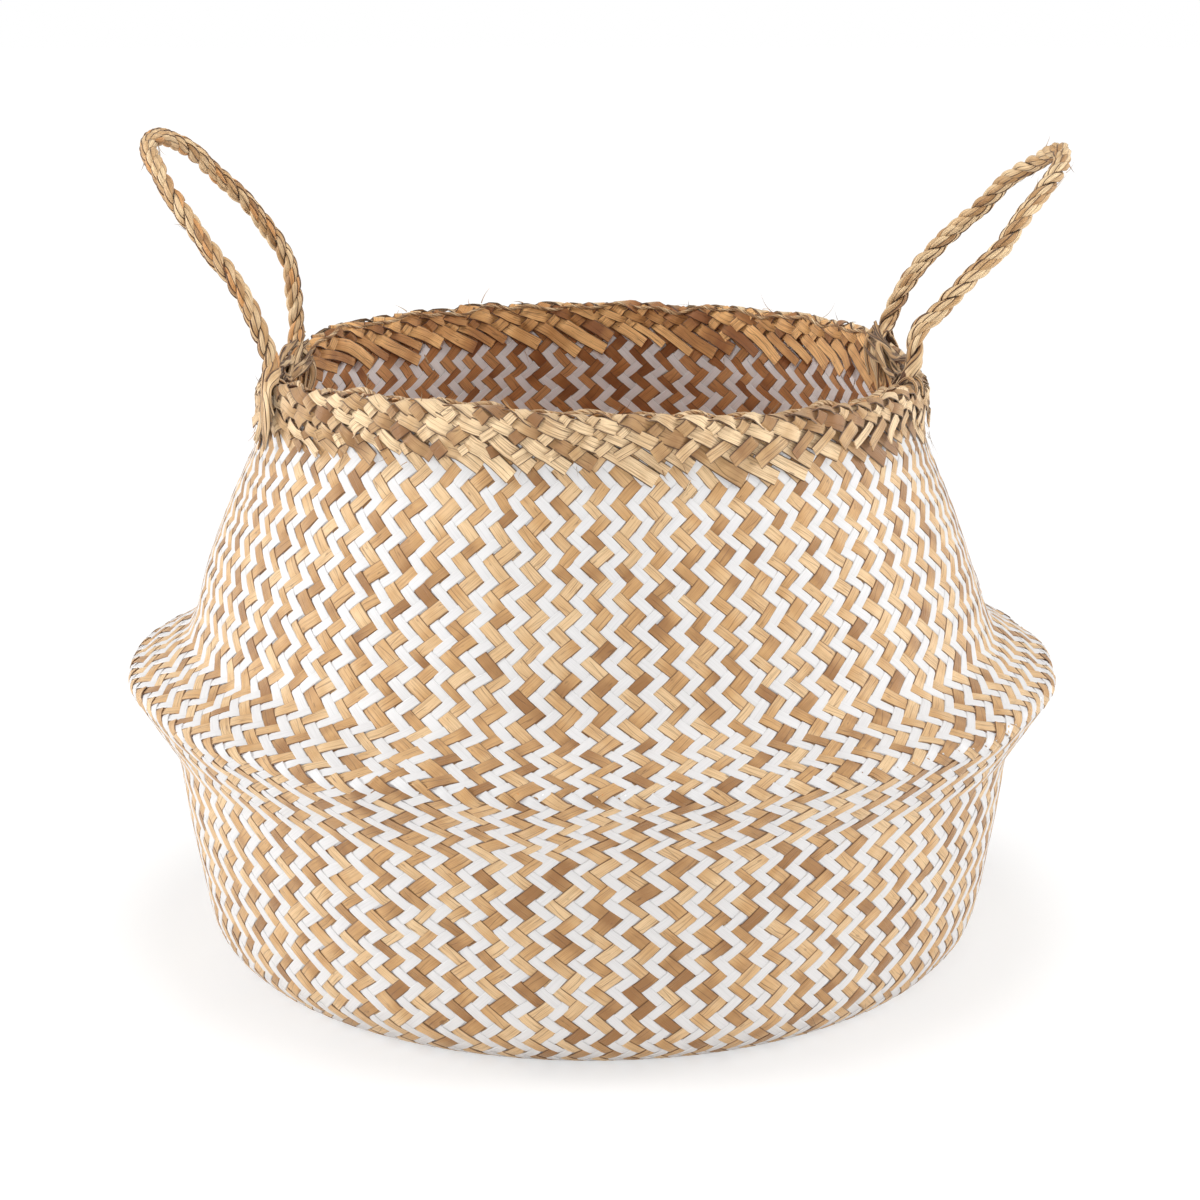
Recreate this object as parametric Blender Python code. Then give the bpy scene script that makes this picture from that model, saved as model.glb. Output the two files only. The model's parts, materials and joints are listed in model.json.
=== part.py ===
"""Plaited seagrass belly basket, with its belly folded down and two rope handles.

Lengths are in metres and +Z is up. The origin is the centre of the flat underside, on the
floor. +X points to the right handle and +Y away from the front. The plaiting is drawn as
closed shells of its true outer shape, split where it changes its work: base, lower wall,
belly fold and upper wall. The handles swing on the line through their two roots.
"""

import math

import bmesh
import bpy
from mathutils import Vector

# Plaiting
wall_thickness = 0.0030
seat_gap = 0.0003  # left between two pieces that touch

# Outer face of the plaiting: each corner's radius and height, and how it is rounded
base_seam_radius = 0.1360  # the base mat ends here and the lower wall begins
base_corner_radius = 0.1690
base_corner_round = 0.0360
lower_wall_bow = 0.0020  # outward, at half height
waist_radius = 0.1892
waist_height = 0.1015
waist_round = 0.0300
brim_radius = 0.2110
brim_height = 0.1345
brim_round = 0.0045
shoulder_radius = 0.1805
shoulder_height = 0.1525
shoulder_round = 0.0180
fold_top_height = 0.1600  # the belly fold ends here and the upper wall begins
neck_radius = 0.1490
neck_height = 0.2480
rim_height = 0.2753

# Each handle draws the rim down between its two roots
handle_dip = 0.0095
dip_foot_height = 0.2000  # the wall below this height keeps its place

# From the shoulder to the neck: share of the height, share of the drop in radius
neck_curve_shares = ((0.32, 0.25), (0.60, 0.57), (0.91, 0.90))

# Shares of a root's own angle between which the dip rises to the level rim
dip_edge_shares = (0.6, 1.5)

# Rim band, folded over the top of the wall
band_thickness = 0.0023
band_outer_depth = 0.0260
band_inner_depth = 0.0250

# Closing cord inside the rim
closing_cord_radius = 0.0017
closing_cord_drop = 0.0020  # below the centre of the rim's round top

# Rope handles and the plies that hold them on the rim
rope_radius = 0.0042
ply_radius = 0.0024
swing_clearance = 0.0004  # between a rope's round end and the ply under it
outer_tail_length = 0.0240
inner_tail_length = 0.0210
tie_radius = 0.0030
tie_drop = 0.0090  # below the centre of the rim's round top, at both ends
tie_sag = 0.0070  # further down at its middle
tie_end_gap = 0.0010  # between a tie's flat end and the tail that it comes from

left_handle_rise = 0.0905
left_handle_reach = 0.0557
left_front_root_angle = math.radians(22.0)
left_back_root_angle = math.radians(22.0)
right_handle_rise = 0.0844
right_handle_reach = 0.0690
right_front_root_angle = math.radians(20.5)
right_back_root_angle = math.radians(22.5)

# Points of each loop: shares of half the span, the outward reach and the rise
left_loop_shares = (
    (-1.00, 0.00, 0.00),
    (-1.01, 0.12, 0.22),
    (-0.97, 0.26, 0.38),
    (-0.88, 0.47, 0.54),
    (-0.73, 0.71, 0.73),
    (-0.51, 0.89, 0.88),
    (-0.21, 1.00, 0.97),
    (0.11, 0.95, 1.00),
    (0.43, 0.78, 0.93),
    (0.68, 0.61, 0.80),
    (0.88, 0.36, 0.62),
    (1.01, 0.09, 0.36),
    (1.01, 0.02, 0.17),
    (1.00, 0.00, 0.00),
)
right_loop_shares = (
    (-1.00, 0.00, 0.00),
    (-0.97, 0.02, 0.15),
    (-0.95, 0.14, 0.25),
    (-0.91, 0.34, 0.42),
    (-0.81, 0.54, 0.57),
    (-0.68, 0.68, 0.71),
    (-0.51, 0.83, 0.84),
    (-0.27, 0.96, 0.94),
    (0.06, 1.00, 1.00),
    (0.42, 0.91, 0.92),
    (0.67, 0.76, 0.82),
    (0.86, 0.61, 0.66),
    (0.99, 0.41, 0.49),
    (1.01, 0.20, 0.30),
    (1.01, 0.08, 0.14),
    (1.00, 0.00, 0.00),
)

# Facets
turn_steps = 64
fillet_steps = 4
bow_steps = 2
rim_arc_steps = 6
loop_steps = 3
rope_sides = 3  # bevel_resolution, which gives 10 sides
small_sides = 2  # bevel_resolution, which gives 8 sides

# Worked out from the sizes above
band_half_width = wall_thickness / 2 + seat_gap + band_thickness
rim_centre_radius = neck_radius - wall_thickness / 2
rim_centre_height = rim_height - band_half_width
ply_offset = band_half_width + seat_gap + ply_radius
hinge_height = (
    rim_centre_height + ply_offset + ply_radius + swing_clearance + rope_radius
)


def clear_scene():
    for obj in list(bpy.data.objects):
        bpy.data.objects.remove(obj, do_unlink=True)


def make_material(name, colour, roughness):
    material = bpy.data.materials.new(name)
    material.use_nodes = True
    shader = material.node_tree.nodes["Principled BSDF"]
    shader.inputs["Base Color"].default_value = (*colour, 1.0)
    shader.inputs["Roughness"].default_value = roughness
    shader.inputs["Metallic"].default_value = 0.0
    return material


def link_object(name, data, material):
    obj = bpy.data.objects.new(name, data)
    data.materials.append(material)
    bpy.context.scene.collection.objects.link(obj)
    return obj


def fillet_corner(before, corner, after, radius):
    """Points of an arc that rounds one corner of an outline."""
    to_before = (before - corner).normalized()
    to_after = (after - corner).normalized()
    half_angle = to_before.angle(to_after) / 2
    reach = radius / math.tan(half_angle)
    centre_distance = radius / math.sin(half_angle)
    centre = corner + (to_before + to_after).normalized() * centre_distance
    start = corner + to_before * reach - centre
    end = corner + to_after * reach - centre
    sweep = start.angle(end)
    points = []
    for step in range(fillet_steps + 1):
        share = step / fillet_steps
        near = math.sin((1 - share) * sweep) / math.sin(sweep)
        far = math.sin(share * sweep) / math.sin(sweep)
        points.append(centre + start * near + end * far)
    return points


def round_outline(corners):
    """An outline from (point, rounding radius) pairs."""
    points = [corners[0][0]]
    for index in range(1, len(corners) - 1):
        corner, radius = corners[index]
        if radius > 0:
            before = corners[index - 1][0]
            after = corners[index + 1][0]
            points.extend(fillet_corner(before, corner, after, radius))
        else:
            points.append(corner)
    points.append(corners[-1][0])
    return points


def outer_outline():
    """The basket's outer face from the seam in the base to the top of the wall."""
    base_corner = Vector((base_corner_radius, 0))
    waist = Vector((waist_radius, waist_height))
    brim = Vector((brim_radius, brim_height))
    shoulder = Vector((shoulder_radius, shoulder_height))
    neck = Vector((neck_radius, neck_height))
    corners = [
        (Vector((base_seam_radius, 0)), 0),
        (base_corner, base_corner_round),
    ]
    for step in range(1, bow_steps + 1):
        share = step / (bow_steps + 1)
        bow = Vector((lower_wall_bow * math.sin(math.pi * share), 0))
        corners.append((base_corner.lerp(waist, share) + bow, 0))
    corners.append((waist, waist_round))
    corners.append((brim, brim_round))
    corners.append((shoulder, shoulder_round))
    for height_share, drop_share in neck_curve_shares:
        point = (
            shoulder.x + (neck.x - shoulder.x) * drop_share,
            shoulder.y + (neck.y - shoulder.y) * height_share,
        )
        corners.append((Vector(point), 0))
    corners.append((neck, 0))
    corners.append((Vector((neck_radius, rim_centre_height)), 0))
    return round_outline(corners)


def inner_outline(outer):
    """The outline one wall thickness inside the outer one."""
    inner = []
    for index, point in enumerate(outer):
        before = outer[max(index - 1, 0)]
        after = outer[min(index + 1, len(outer) - 1)]
        arriving = (point - before) if index > 0 else (after - point)
        leaving = (after - point) if index < len(outer) - 1 else (point - before)
        first = Vector((-arriving.y, arriving.x)).normalized()
        second = Vector((-leaving.y, leaving.x)).normalized()
        inward = (first + second).normalized()
        inner.append(point + inward * wall_thickness / inward.dot(first))
    return inner


def cut_outline(points, low, high):
    """The part of an outline between two heights."""
    kept = []
    for before, after in zip(points, points[1:]):
        for height in (low, high):
            if before.y < height < after.y:
                share = (height - before.y) / (after.y - before.y)
                kept.append(before.lerp(after, share))
        if low <= after.y <= high:
            kept.append(after)
    if low <= points[0].y:
        kept.append(points[0])
    return sorted(kept, key=lambda point: (point.y, point.x))


def turned_object(name, outline, material):
    """A solid turned about Z from a closed outline of (radius, height) points."""
    mesh = bpy.data.meshes.new(name)
    form = bmesh.new()
    verts = [form.verts.new((point.x, 0, point.y)) for point in outline]
    edges = []
    for index, vert in enumerate(verts):
        following = verts[(index + 1) % len(verts)]
        if vert.co.x > 0 or following.co.x > 0:
            edges.append(form.edges.new((vert, following)))
    bmesh.ops.spin(
        form,
        geom=verts + edges,
        cent=(0, 0, 0),
        axis=(0, 0, 1),
        angle=2 * math.pi,
        steps=turn_steps,
        use_merge=True,
    )
    bmesh.ops.remove_doubles(form, verts=form.verts, dist=seat_gap / 100)
    bmesh.ops.recalc_face_normals(form, faces=form.faces)
    form.to_mesh(mesh)
    form.free()
    mesh.shade_smooth()
    mesh.set_sharp_from_angle(angle=math.radians(40))
    return link_object(name, mesh, material)


def shell_object(name, outer, inner, low, high, material):
    outside = cut_outline(outer, low, high)
    inside = cut_outline(inner, low, high)
    return turned_object(name, outside + inside[::-1], material)


def smooth_route(points):
    """Points on a smooth curve through the route's own points."""
    padded = [points[0] * 2 - points[1], *points, points[-1] * 2 - points[-2]]
    route = []
    for index in range(1, len(padded) - 2):
        p0, p1, p2, p3 = padded[index - 1 : index + 3]
        for step in range(loop_steps):
            t = step / loop_steps
            route.append(
                p1
                + (p2 - p0) * (t / 2)
                + (p0 * 2 - p1 * 5 + p2 * 4 - p3) * (t**2 / 2)
                + (p1 * 3 - p0 - p2 * 3 + p3) * (t**3 / 2)
            )
    route.append(points[-1])
    return route


def tube_object(name, route, radii, sides, material):
    """A closed tube along a route, with its own radius at each point."""
    curve = bpy.data.curves.new(name, "CURVE")
    curve.dimensions = "3D"
    curve.bevel_mode = "ROUND"
    curve.bevel_depth = 1
    curve.bevel_resolution = sides
    curve.use_fill_caps = True
    spline = curve.splines.new("POLY")
    spline.points.add(len(route) - 1)
    for point, place, radius in zip(spline.points, route, radii):
        point.co = (*place, 1)
        point.radius = radius
    spline.use_smooth = True
    return link_object(name, curve, material)


def plain_tube(name, route, radius, material):
    return tube_object(name, route, [radius] * len(route), small_sides, material)


def smooth_share(value, low, high):
    share = min(max((value - low) / (high - low), 0), 1)
    return share**2 * (3 - 2 * share)


def dip_at(point):
    """How far a handle draws the rim down at a point."""
    if point.x < 0:
        roots = (left_front_root_angle, left_back_root_angle)
    else:
        roots = (right_front_root_angle, right_back_root_angle)
    root = roots[1] if point.y > 0 else roots[0]
    angle_share = math.atan2(abs(point.y), abs(point.x)) / root
    band_foot = rim_height - band_outer_depth
    near_rim = smooth_share(point.z, dip_foot_height, band_foot)
    return handle_dip * near_rim * (1 - smooth_share(angle_share, *dip_edge_shares))


def draw_down(obj):
    for vert in obj.data.vertices:
        vert.co.z -= dip_at(vert.co)


def rim_point(angle, side, radius, height):
    """A point by its angle from the +X or -X axis, positive to the back."""
    point = Vector((side * radius * math.cos(angle), radius * math.sin(angle), height))
    point.z -= dip_at(point)
    return point


def make_base_mat(material):
    edge = base_seam_radius - seat_gap
    outline = [
        Vector((0, 0)),
        Vector((edge, 0)),
        Vector((edge, wall_thickness)),
        Vector((0, wall_thickness)),
    ]
    turned_object("base_mat", outline, material)


def make_walls(material):
    outer = outer_outline()
    inner = inner_outline(outer)
    shell_object("lower_wall", outer, inner, 0, waist_height, material)
    fold_foot = waist_height + seat_gap
    shell_object("belly_fold", outer, inner, fold_foot, fold_top_height, material)
    foot = fold_top_height + seat_gap
    upper = shell_object("upper_wall", outer, inner, foot, rim_centre_height, material)
    draw_down(upper)


def half_turn(radius, start, end):
    """An arc over the rim's centre, as (radius, height) points."""
    centre = Vector((rim_centre_radius, rim_centre_height))
    points = []
    for step in range(rim_arc_steps + 1):
        angle = start + (end - start) * step / rim_arc_steps
        points.append(centre + Vector((math.cos(angle), math.sin(angle))) * radius)
    return points


def make_rim_band(material):
    """Strand ends folded over the top edge, lying on both faces of the wall."""
    outer_foot = rim_height - band_outer_depth
    inner_foot = rim_height - band_inner_depth
    slot = band_half_width - band_thickness
    outline = [Vector((rim_centre_radius + band_half_width, outer_foot))]
    outline += half_turn(band_half_width, 0, math.pi)
    outline.append(Vector((rim_centre_radius - band_half_width, inner_foot)))
    outline.append(Vector((rim_centre_radius - slot, inner_foot)))
    outline += half_turn(slot, math.pi, 0)
    outline.append(Vector((rim_centre_radius + slot, outer_foot)))
    draw_down(turned_object("rim_band", outline, material))


def make_closing_cord(name, start, end, material):
    """An arc of cord inside the rim, from one handle's tail to the next."""
    radius = rim_centre_radius - band_half_width - seat_gap - closing_cord_radius
    height = rim_centre_height - closing_cord_drop
    tail_radius = rim_centre_radius - ply_offset
    margin = (ply_radius + seat_gap) / tail_radius
    steps = turn_steps // 2
    route = []
    for step in range(steps + 1):
        angle = start + margin + (end - start - 2 * margin) * step / steps
        route.append(rim_point(angle, 1, radius, height))
    plain_tube(name, route, closing_cord_radius, material)


def make_anchor(name, angle, side, material):
    """A ply of the handle's rope that straddles the rim, with a tail on each face."""
    route = []
    inner_foot = rim_centre_height - inner_tail_length
    outer_foot = rim_centre_height - outer_tail_length
    inside = rim_centre_radius - ply_offset
    outside = rim_centre_radius + ply_offset
    route.append(rim_point(angle, side, inside, inner_foot))
    for place in half_turn(ply_offset, math.pi, 0):
        route.append(rim_point(angle, side, place.x, place.y))
    route.append(rim_point(angle, side, outside, outer_foot))
    plain_tube(name, route, ply_radius, material)


def make_inner_tie(name, front_angle, back_angle, side, material):
    """Rope strands inside the rim, which join the two tails of one handle."""
    radius = rim_centre_radius - band_half_width - seat_gap - tie_radius
    tail_radius = rim_centre_radius - ply_offset
    margin = (ply_radius + tie_end_gap) / tail_radius
    start = -front_angle + margin
    end = back_angle - margin
    route = []
    steps = rim_arc_steps * 2
    for step in range(steps + 1):
        share = step / steps
        drop = tie_drop + tie_sag * math.sin(math.pi * share) ** 2
        angle = start + (end - start) * share
        route.append(rim_point(angle, side, radius, rim_centre_height - drop))
    plain_tube(name, route, tie_radius, material)


def make_hinge(name, front_angle, back_angle, side):
    """An empty halfway between a handle's roots, with its Y axis along the hinge."""
    front = rim_point(-front_angle, side, rim_centre_radius, hinge_height)
    back = rim_point(back_angle, side, rim_centre_radius, hinge_height)
    along = back - front
    hinge = bpy.data.objects.new(name + "_hinge", None)
    hinge.location = (front + back) / 2
    hinge.rotation_euler = (0, 0, math.atan2(-along.x, along.y))
    bpy.context.scene.collection.objects.link(hinge)
    return hinge, along.length / 2


def round_ends(route):
    """The route with a ball's worth of shrinking rings past each end, and its radii."""
    angles = [math.radians(degrees) for degrees in (80, 60, 40, 20)]
    first_way = (route[0] - route[1]).normalized()
    last_way = (route[-1] - route[-2]).normalized()
    head = [route[0] + first_way * rope_radius * math.sin(a) for a in angles]
    tail = [route[-1] + last_way * rope_radius * math.sin(a) for a in angles[::-1]]
    head_radii = [rope_radius * math.cos(a) for a in angles]
    radii = head_radii + [rope_radius] * len(route) + head_radii[::-1]
    return head + route + tail, radii


def make_handle(name, front_angle, back_angle, side, rise, reach, shares, material):
    """A standing loop of rope, parented to the empty on its hinge line."""
    hinge, half_span = make_hinge(name, front_angle, back_angle, side)
    points = [
        Vector((side * reach * outward, half_span * across, rise * upward))
        for across, outward, upward in shares
    ]
    route, radii = round_ends(smooth_route(points))
    rope = tube_object(name + "_rope", route, radii, rope_sides, material)
    rope.parent = hinge


def main():
    clear_scene()
    plaiting = make_material("painted_and_plain_seagrass", (0.72, 0.61, 0.45), 0.75)
    band = make_material("plain_seagrass", (0.60, 0.42, 0.23), 0.70)
    rope = make_material("seagrass_rope", (0.56, 0.38, 0.20), 0.70)
    cord = make_material("seagrass_cord", (0.50, 0.33, 0.17), 0.72)

    make_base_mat(plaiting)
    make_walls(plaiting)
    make_rim_band(band)

    front_start = math.pi + left_front_root_angle
    front_end = 2 * math.pi - right_front_root_angle
    make_closing_cord("front_closing_cord", front_start, front_end, cord)
    back_end = math.pi - left_back_root_angle
    make_closing_cord("back_closing_cord", right_back_root_angle, back_end, cord)

    make_anchor("left_front_anchor", -left_front_root_angle, -1, rope)
    make_anchor("left_back_anchor", left_back_root_angle, -1, rope)
    make_anchor("right_front_anchor", -right_front_root_angle, 1, rope)
    make_anchor("right_back_anchor", right_back_root_angle, 1, rope)
    make_inner_tie(
        "left_inner_tie", left_front_root_angle, left_back_root_angle, -1, cord
    )
    make_inner_tie(
        "right_inner_tie", right_front_root_angle, right_back_root_angle, 1, cord
    )

    make_handle(
        "left_handle",
        left_front_root_angle,
        left_back_root_angle,
        -1,
        left_handle_rise,
        left_handle_reach,
        left_loop_shares,
        rope,
    )
    make_handle(
        "right_handle",
        right_front_root_angle,
        right_back_root_angle,
        1,
        right_handle_rise,
        right_handle_reach,
        right_loop_shares,
        rope,
    )


main()
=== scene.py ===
import json
import math

import bpy
import numpy as np
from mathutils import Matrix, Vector


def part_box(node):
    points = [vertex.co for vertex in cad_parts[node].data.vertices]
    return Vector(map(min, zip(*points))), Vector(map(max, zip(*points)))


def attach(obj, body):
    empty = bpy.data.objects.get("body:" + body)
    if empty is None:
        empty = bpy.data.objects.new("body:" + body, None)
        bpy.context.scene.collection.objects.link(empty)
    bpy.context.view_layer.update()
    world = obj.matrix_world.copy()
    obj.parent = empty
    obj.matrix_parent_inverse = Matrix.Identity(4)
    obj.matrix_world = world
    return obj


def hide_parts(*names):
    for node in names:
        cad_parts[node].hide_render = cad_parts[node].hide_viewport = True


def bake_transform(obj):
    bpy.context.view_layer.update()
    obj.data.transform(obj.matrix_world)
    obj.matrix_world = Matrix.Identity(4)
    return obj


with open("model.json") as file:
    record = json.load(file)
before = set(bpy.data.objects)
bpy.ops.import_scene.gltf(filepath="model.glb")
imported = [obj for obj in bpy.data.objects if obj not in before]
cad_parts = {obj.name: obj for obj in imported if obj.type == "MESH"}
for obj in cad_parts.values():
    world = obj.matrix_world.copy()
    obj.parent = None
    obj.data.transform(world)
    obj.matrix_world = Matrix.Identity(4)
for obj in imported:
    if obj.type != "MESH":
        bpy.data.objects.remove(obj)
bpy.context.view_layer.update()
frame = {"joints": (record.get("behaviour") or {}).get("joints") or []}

# Belly basket of plaited seagrass. Metres, +Z up, front towards -Y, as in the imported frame.

bpy.ops.object.select_all(action="DESELECT")
scene = bpy.context.scene
scene.view_settings.view_transform = "Standard"
random = np.random.default_rng(77)

print("camera and studio")

view = {
    "lens": 90.0,
    "sensor": 36.0,
    "distance": 1.3635,
    "lookDown": 14.3,  # degrees
    "aim": (0.0036, 0.0, 0.1615),
}


def addCamera():
    down = math.radians(view["lookDown"])
    aim = Vector(view["aim"])
    back = Vector((0, -math.cos(down), math.sin(down))) * view["distance"]
    bpy.ops.object.camera_add(location=aim + back)
    camera = bpy.context.object
    camera.name = "front_camera"
    camera.rotation_euler = (math.pi / 2 - down, 0, 0)
    camera.data.lens = view["lens"]
    camera.data.sensor_width = view["sensor"]
    scene.camera = camera


studio = {
    "floorWidth": 12.0,
    "floorShade": 0.96,
    "floorRoughness": 0.9,
    "skyLight": 0.28,
    # what the camera sees of the floor: a darker shade and a glow, so that shadows stay faint
    "floorSeen": 0.45,
    "floorGlow": 0.60,
    "farGlow": 1.03,  # pure white
    "fadeFrom": 0.27,  # distances at which the floor starts to turn pure white and has done so
    "fadeTo": 0.70,
    # place, size and power of each lamp
    "lamps": {
        "left_lamp": ((-2.3, 0.1, 0.65), 1.2, 38.0),
        "right_lamp": ((2.3, 0.1, 0.75), 1.2, 33.0),
        "top_lamp": ((0.0, -0.5, 2.3), 0.8, 21.0),
        "low_front_lamp": ((-0.2, -2.90, 0.20), 0.8, 21.5),
        "high_front_lamp": ((-0.2, -2.60, 1.35), 0.8, 16.6),
    },
}


class Wire:
    # a socket that can stand in a sum
    def __init__(self, finish, socket):
        self.finish = finish
        self.socket = socket

    def maths(self, operation, first, second=0.0):
        return self.finish.node(
            "ShaderNodeMath", {"operation": operation}, {0: first, 1: second}
        )

    def __add__(self, other):
        return self.maths("ADD", self, other)

    def __radd__(self, other):
        return self.maths("ADD", other, self)

    def __sub__(self, other):
        return self.maths("SUBTRACT", self, other)

    def __rsub__(self, other):
        return self.maths("SUBTRACT", other, self)

    def __mul__(self, other):
        return self.maths("MULTIPLY", self, other)

    def __rmul__(self, other):
        return self.maths("MULTIPLY", other, self)

    def __abs__(self):
        return self.maths("ABSOLUTE", self)

    # 0 below low, 1 above high
    def between(self, low, high):
        settings = {"interpolation_type": "SMOOTHSTEP"}
        sockets = {"Value": self, "From Min": low, "From Max": high}
        return self.finish.node("ShaderNodeMapRange", settings, sockets)


class Finish:
    # a material under construction
    def __init__(self, name, fixed):
        self.material = bpy.data.materials.new(name)
        self.material.use_nodes = True
        self.tree = self.material.node_tree
        self.shader = self.tree.nodes["Principled BSDF"]
        self.set(self.shader, fixed)

    def set(self, node, sockets):
        for key, value in sockets.items():
            if isinstance(value, Wire):
                self.tree.links.new(value.socket, node.inputs[key])
            else:
                node.inputs[key].default_value = value

    def node(self, kind, settings=None, sockets=None, outputs=0):
        made = self.tree.nodes.new(kind)
        for key, value in (settings or {}).items():
            if key == "stops":
                self.setStops(made.color_ramp, value)
            else:
                setattr(made, key, value)
        self.set(made, sockets or {})
        if isinstance(outputs, tuple):
            return [Wire(self, made.outputs[key]) for key in outputs]
        return Wire(self, made.outputs[outputs])

    def setStops(self, ramp, stops):
        while len(ramp.elements) > 1:
            ramp.elements.remove(ramp.elements[-1])
        ramp.elements[0].position = stops[0][0]
        ramp.elements[0].color = (*stops[0][1], 1)
        for place, colour in stops[1:]:
            ramp.elements.new(place).color = (*colour, 1)

    def ramp(self, value, stops):
        return self.node("ShaderNodeValToRGB", {"stops": stops}, {0: value}, "Color")

    def noise(self, vector, scale, detail=2.0, roughness=0.5):
        sockets = {"Vector": vector, "Scale": scale, "Detail": detail, "Roughness": roughness}
        return self.node("ShaderNodeTexNoise", {}, sockets, 0)

    def vector(self, x, y, z):
        return self.node("ShaderNodeCombineXYZ", {}, {0: x, 1: y, 2: z})

    def mixColour(self, share, first, second, blend="MIX"):
        settings = {"data_type": "RGBA", "blend_type": blend}
        return self.node("ShaderNodeMix", settings, {0: share, 6: first, 7: second}, 2)

    def bump(self, height, strength, distance):
        sockets = {"Height": height, "Strength": strength, "Distance": distance}
        return self.node("ShaderNodeBump", {}, sockets, "Normal")

    def wear(self, sockets):
        self.set(self.shader, sockets)
        return self.material


def grey(shade):
    return (shade, shade, shade, 1)


def addFloor():
    bpy.ops.mesh.primitive_plane_add(size=studio["floorWidth"])
    floor = bpy.context.object
    floor.name = "studio_floor"
    look = {"Base Color": grey(studio["floorShade"]), "Roughness": studio["floorRoughness"]}
    finish = Finish("studio_white", look)
    glow = finish.node("ShaderNodeEmission", {}, {"Strength": studio["floorGlow"]})
    white = finish.node("ShaderNodeEmission", {}, {"Strength": studio["farGlow"]})
    seen = finish.node("ShaderNodeLightPath", {}, {}, "Is Camera Ray")
    place = finish.node("ShaderNodeTexCoord", {}, {}, "Object")
    away = finish.node("ShaderNodeVectorMath", {"operation": "LENGTH"}, {0: place}, "Value")
    far = away.between(studio["fadeFrom"], studio["fadeTo"])
    plain = Wire(finish, finish.shader.outputs[0])
    under = finish.node("ShaderNodeBsdfDiffuse", {}, {"Color": grey(studio["floorSeen"])})
    bright = finish.node("ShaderNodeAddShader", {}, {0: under, 1: glow})
    shown = finish.node("ShaderNodeMixShader", {}, {0: far, 1: bright, 2: white})
    both = finish.node("ShaderNodeMixShader", {}, {0: seen, 1: plain, 2: shown})
    finish.set(finish.tree.nodes["Material Output"], {"Surface": both})
    floor.data.materials.append(finish.material)


def addSky():
    world = bpy.data.worlds.new("studio_sky")
    scene.world = world
    world.use_nodes = True
    nodes = world.node_tree.nodes
    links = world.node_tree.links
    light = nodes["Background"]
    light.inputs["Color"].default_value = grey(1)
    light.inputs["Strength"].default_value = studio["skyLight"]
    white = nodes.new("ShaderNodeBackground")
    white.inputs["Color"].default_value = grey(1)
    path = nodes.new("ShaderNodeLightPath")
    shown = light.outputs[0]
    for ray in ("Is Camera Ray", "Is Glossy Ray", "Is Transmission Ray"):
        mix = nodes.new("ShaderNodeMixShader")
        links.new(path.outputs[ray], mix.inputs[0])
        links.new(shown, mix.inputs[1])
        links.new(white.outputs[0], mix.inputs[2])
        shown = mix.outputs[0]
    links.new(shown, nodes["World Output"].inputs["Surface"])


def addLamp(name, place, size, power):
    bpy.ops.object.light_add(type="AREA", location=place)
    lamp = bpy.context.object
    lamp.name = name
    lamp.data.shape = "DISK"
    lamp.data.size = size
    lamp.data.energy = power
    away = Vector(place) - Vector(view["aim"])
    lamp.rotation_euler = away.to_track_quat("Z", "Y").to_euler()


addCamera()
addFloor()
addSky()
for name, lamp in studio["lamps"].items():
    addLamp(name, *lamp)

print("finishes")

# Every strand carries two attributes. The vector "lay" is its place across it from -1 to 1,
# its place along it in metres and its own random number, the tone, which is multiplied to
# give each strand its own part of a noise. "face" is 1 on what faces outwards, and -1 inside
# the basket and in the grooves of a rope, where the finishes paint light and shade into the colour.

fibres = {
    "halfWidth": 0.0026,  # of a strand as the fibres see it
    "stretch": 0.015,  # share of the real length, so that they run along the strand
    "detail": 2.5,
    "roughness": 0.62,
}


def strandWires(finish):
    lay = finish.node("ShaderNodeAttribute", {"attribute_name": "lay"}, {}, "Vector")
    return finish.node("ShaderNodeSeparateXYZ", {}, {"Vector": lay}, ("X", "Y", "Z"))


def fibreNoise(finish, across, along, tone, scale):
    # long streaks that run along a strand
    side = across * fibres["halfWidth"] + tone * 3.7
    place = finish.vector(side, along * fibres["stretch"], tone * 11.0)
    return finish.noise(place, scale, fibres["detail"], fibres["roughness"])


def paintLightInside(finish, colour, lightFactor):
    # painted light and shade: multiplies the colour where "face" is -1, on faces inside the basket
    # and in the grooves of ropes and cords
    face = finish.node("ShaderNodeAttribute", {"attribute_name": "face"}, {}, "Fac")
    inside = 1.0 - face.between(-0.9, -0.3)
    withPaintedLight = finish.mixColour(1.0, colour, (*lightFactor, 1), "MULTIPLY")
    return finish.mixColour(inside, colour, withPaintedLight)


seagrass = {
    "sheen": {"Sheen Weight": 0.36, "Sheen Tint": (1.0, 0.84, 0.62, 1)},
    "fibreScale": 3300,
    "patchScale": 62,  # of paler and darker lengths
    "places": (0.05, 0.42, 0.90),  # of the dark, middle and pale colours, by shade
    "amber": (0.60, 0.22, 0.02, 1),
    "amberShare": 0.75,
    "lines": (0.34, 0.54),  # fibre noise below and above which there is a line and none
    "seamWander": 3.2,  # in half widths of a strand
    "seamWidth": (0.02, 0.09),
    "seamed": (0.45, 0.55),  # noise below and above which a length has no seam and has one
    # dark rims: partly the leaves' own darker edges, partly painted shade in the gaps between
    # strands
    "rims": (0.80, 0.96),  # in half widths
    "fleckScale": 900,
    "flecks": (0.68, 0.80),
    "fleckShare": 0.55,
    "seamDepth": 0.4,
    "bump": (0.6, 0.0005),  # strength and height
    "roughness": (0.50, 0.2),  # lowest, and what the fibres add
}


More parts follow.
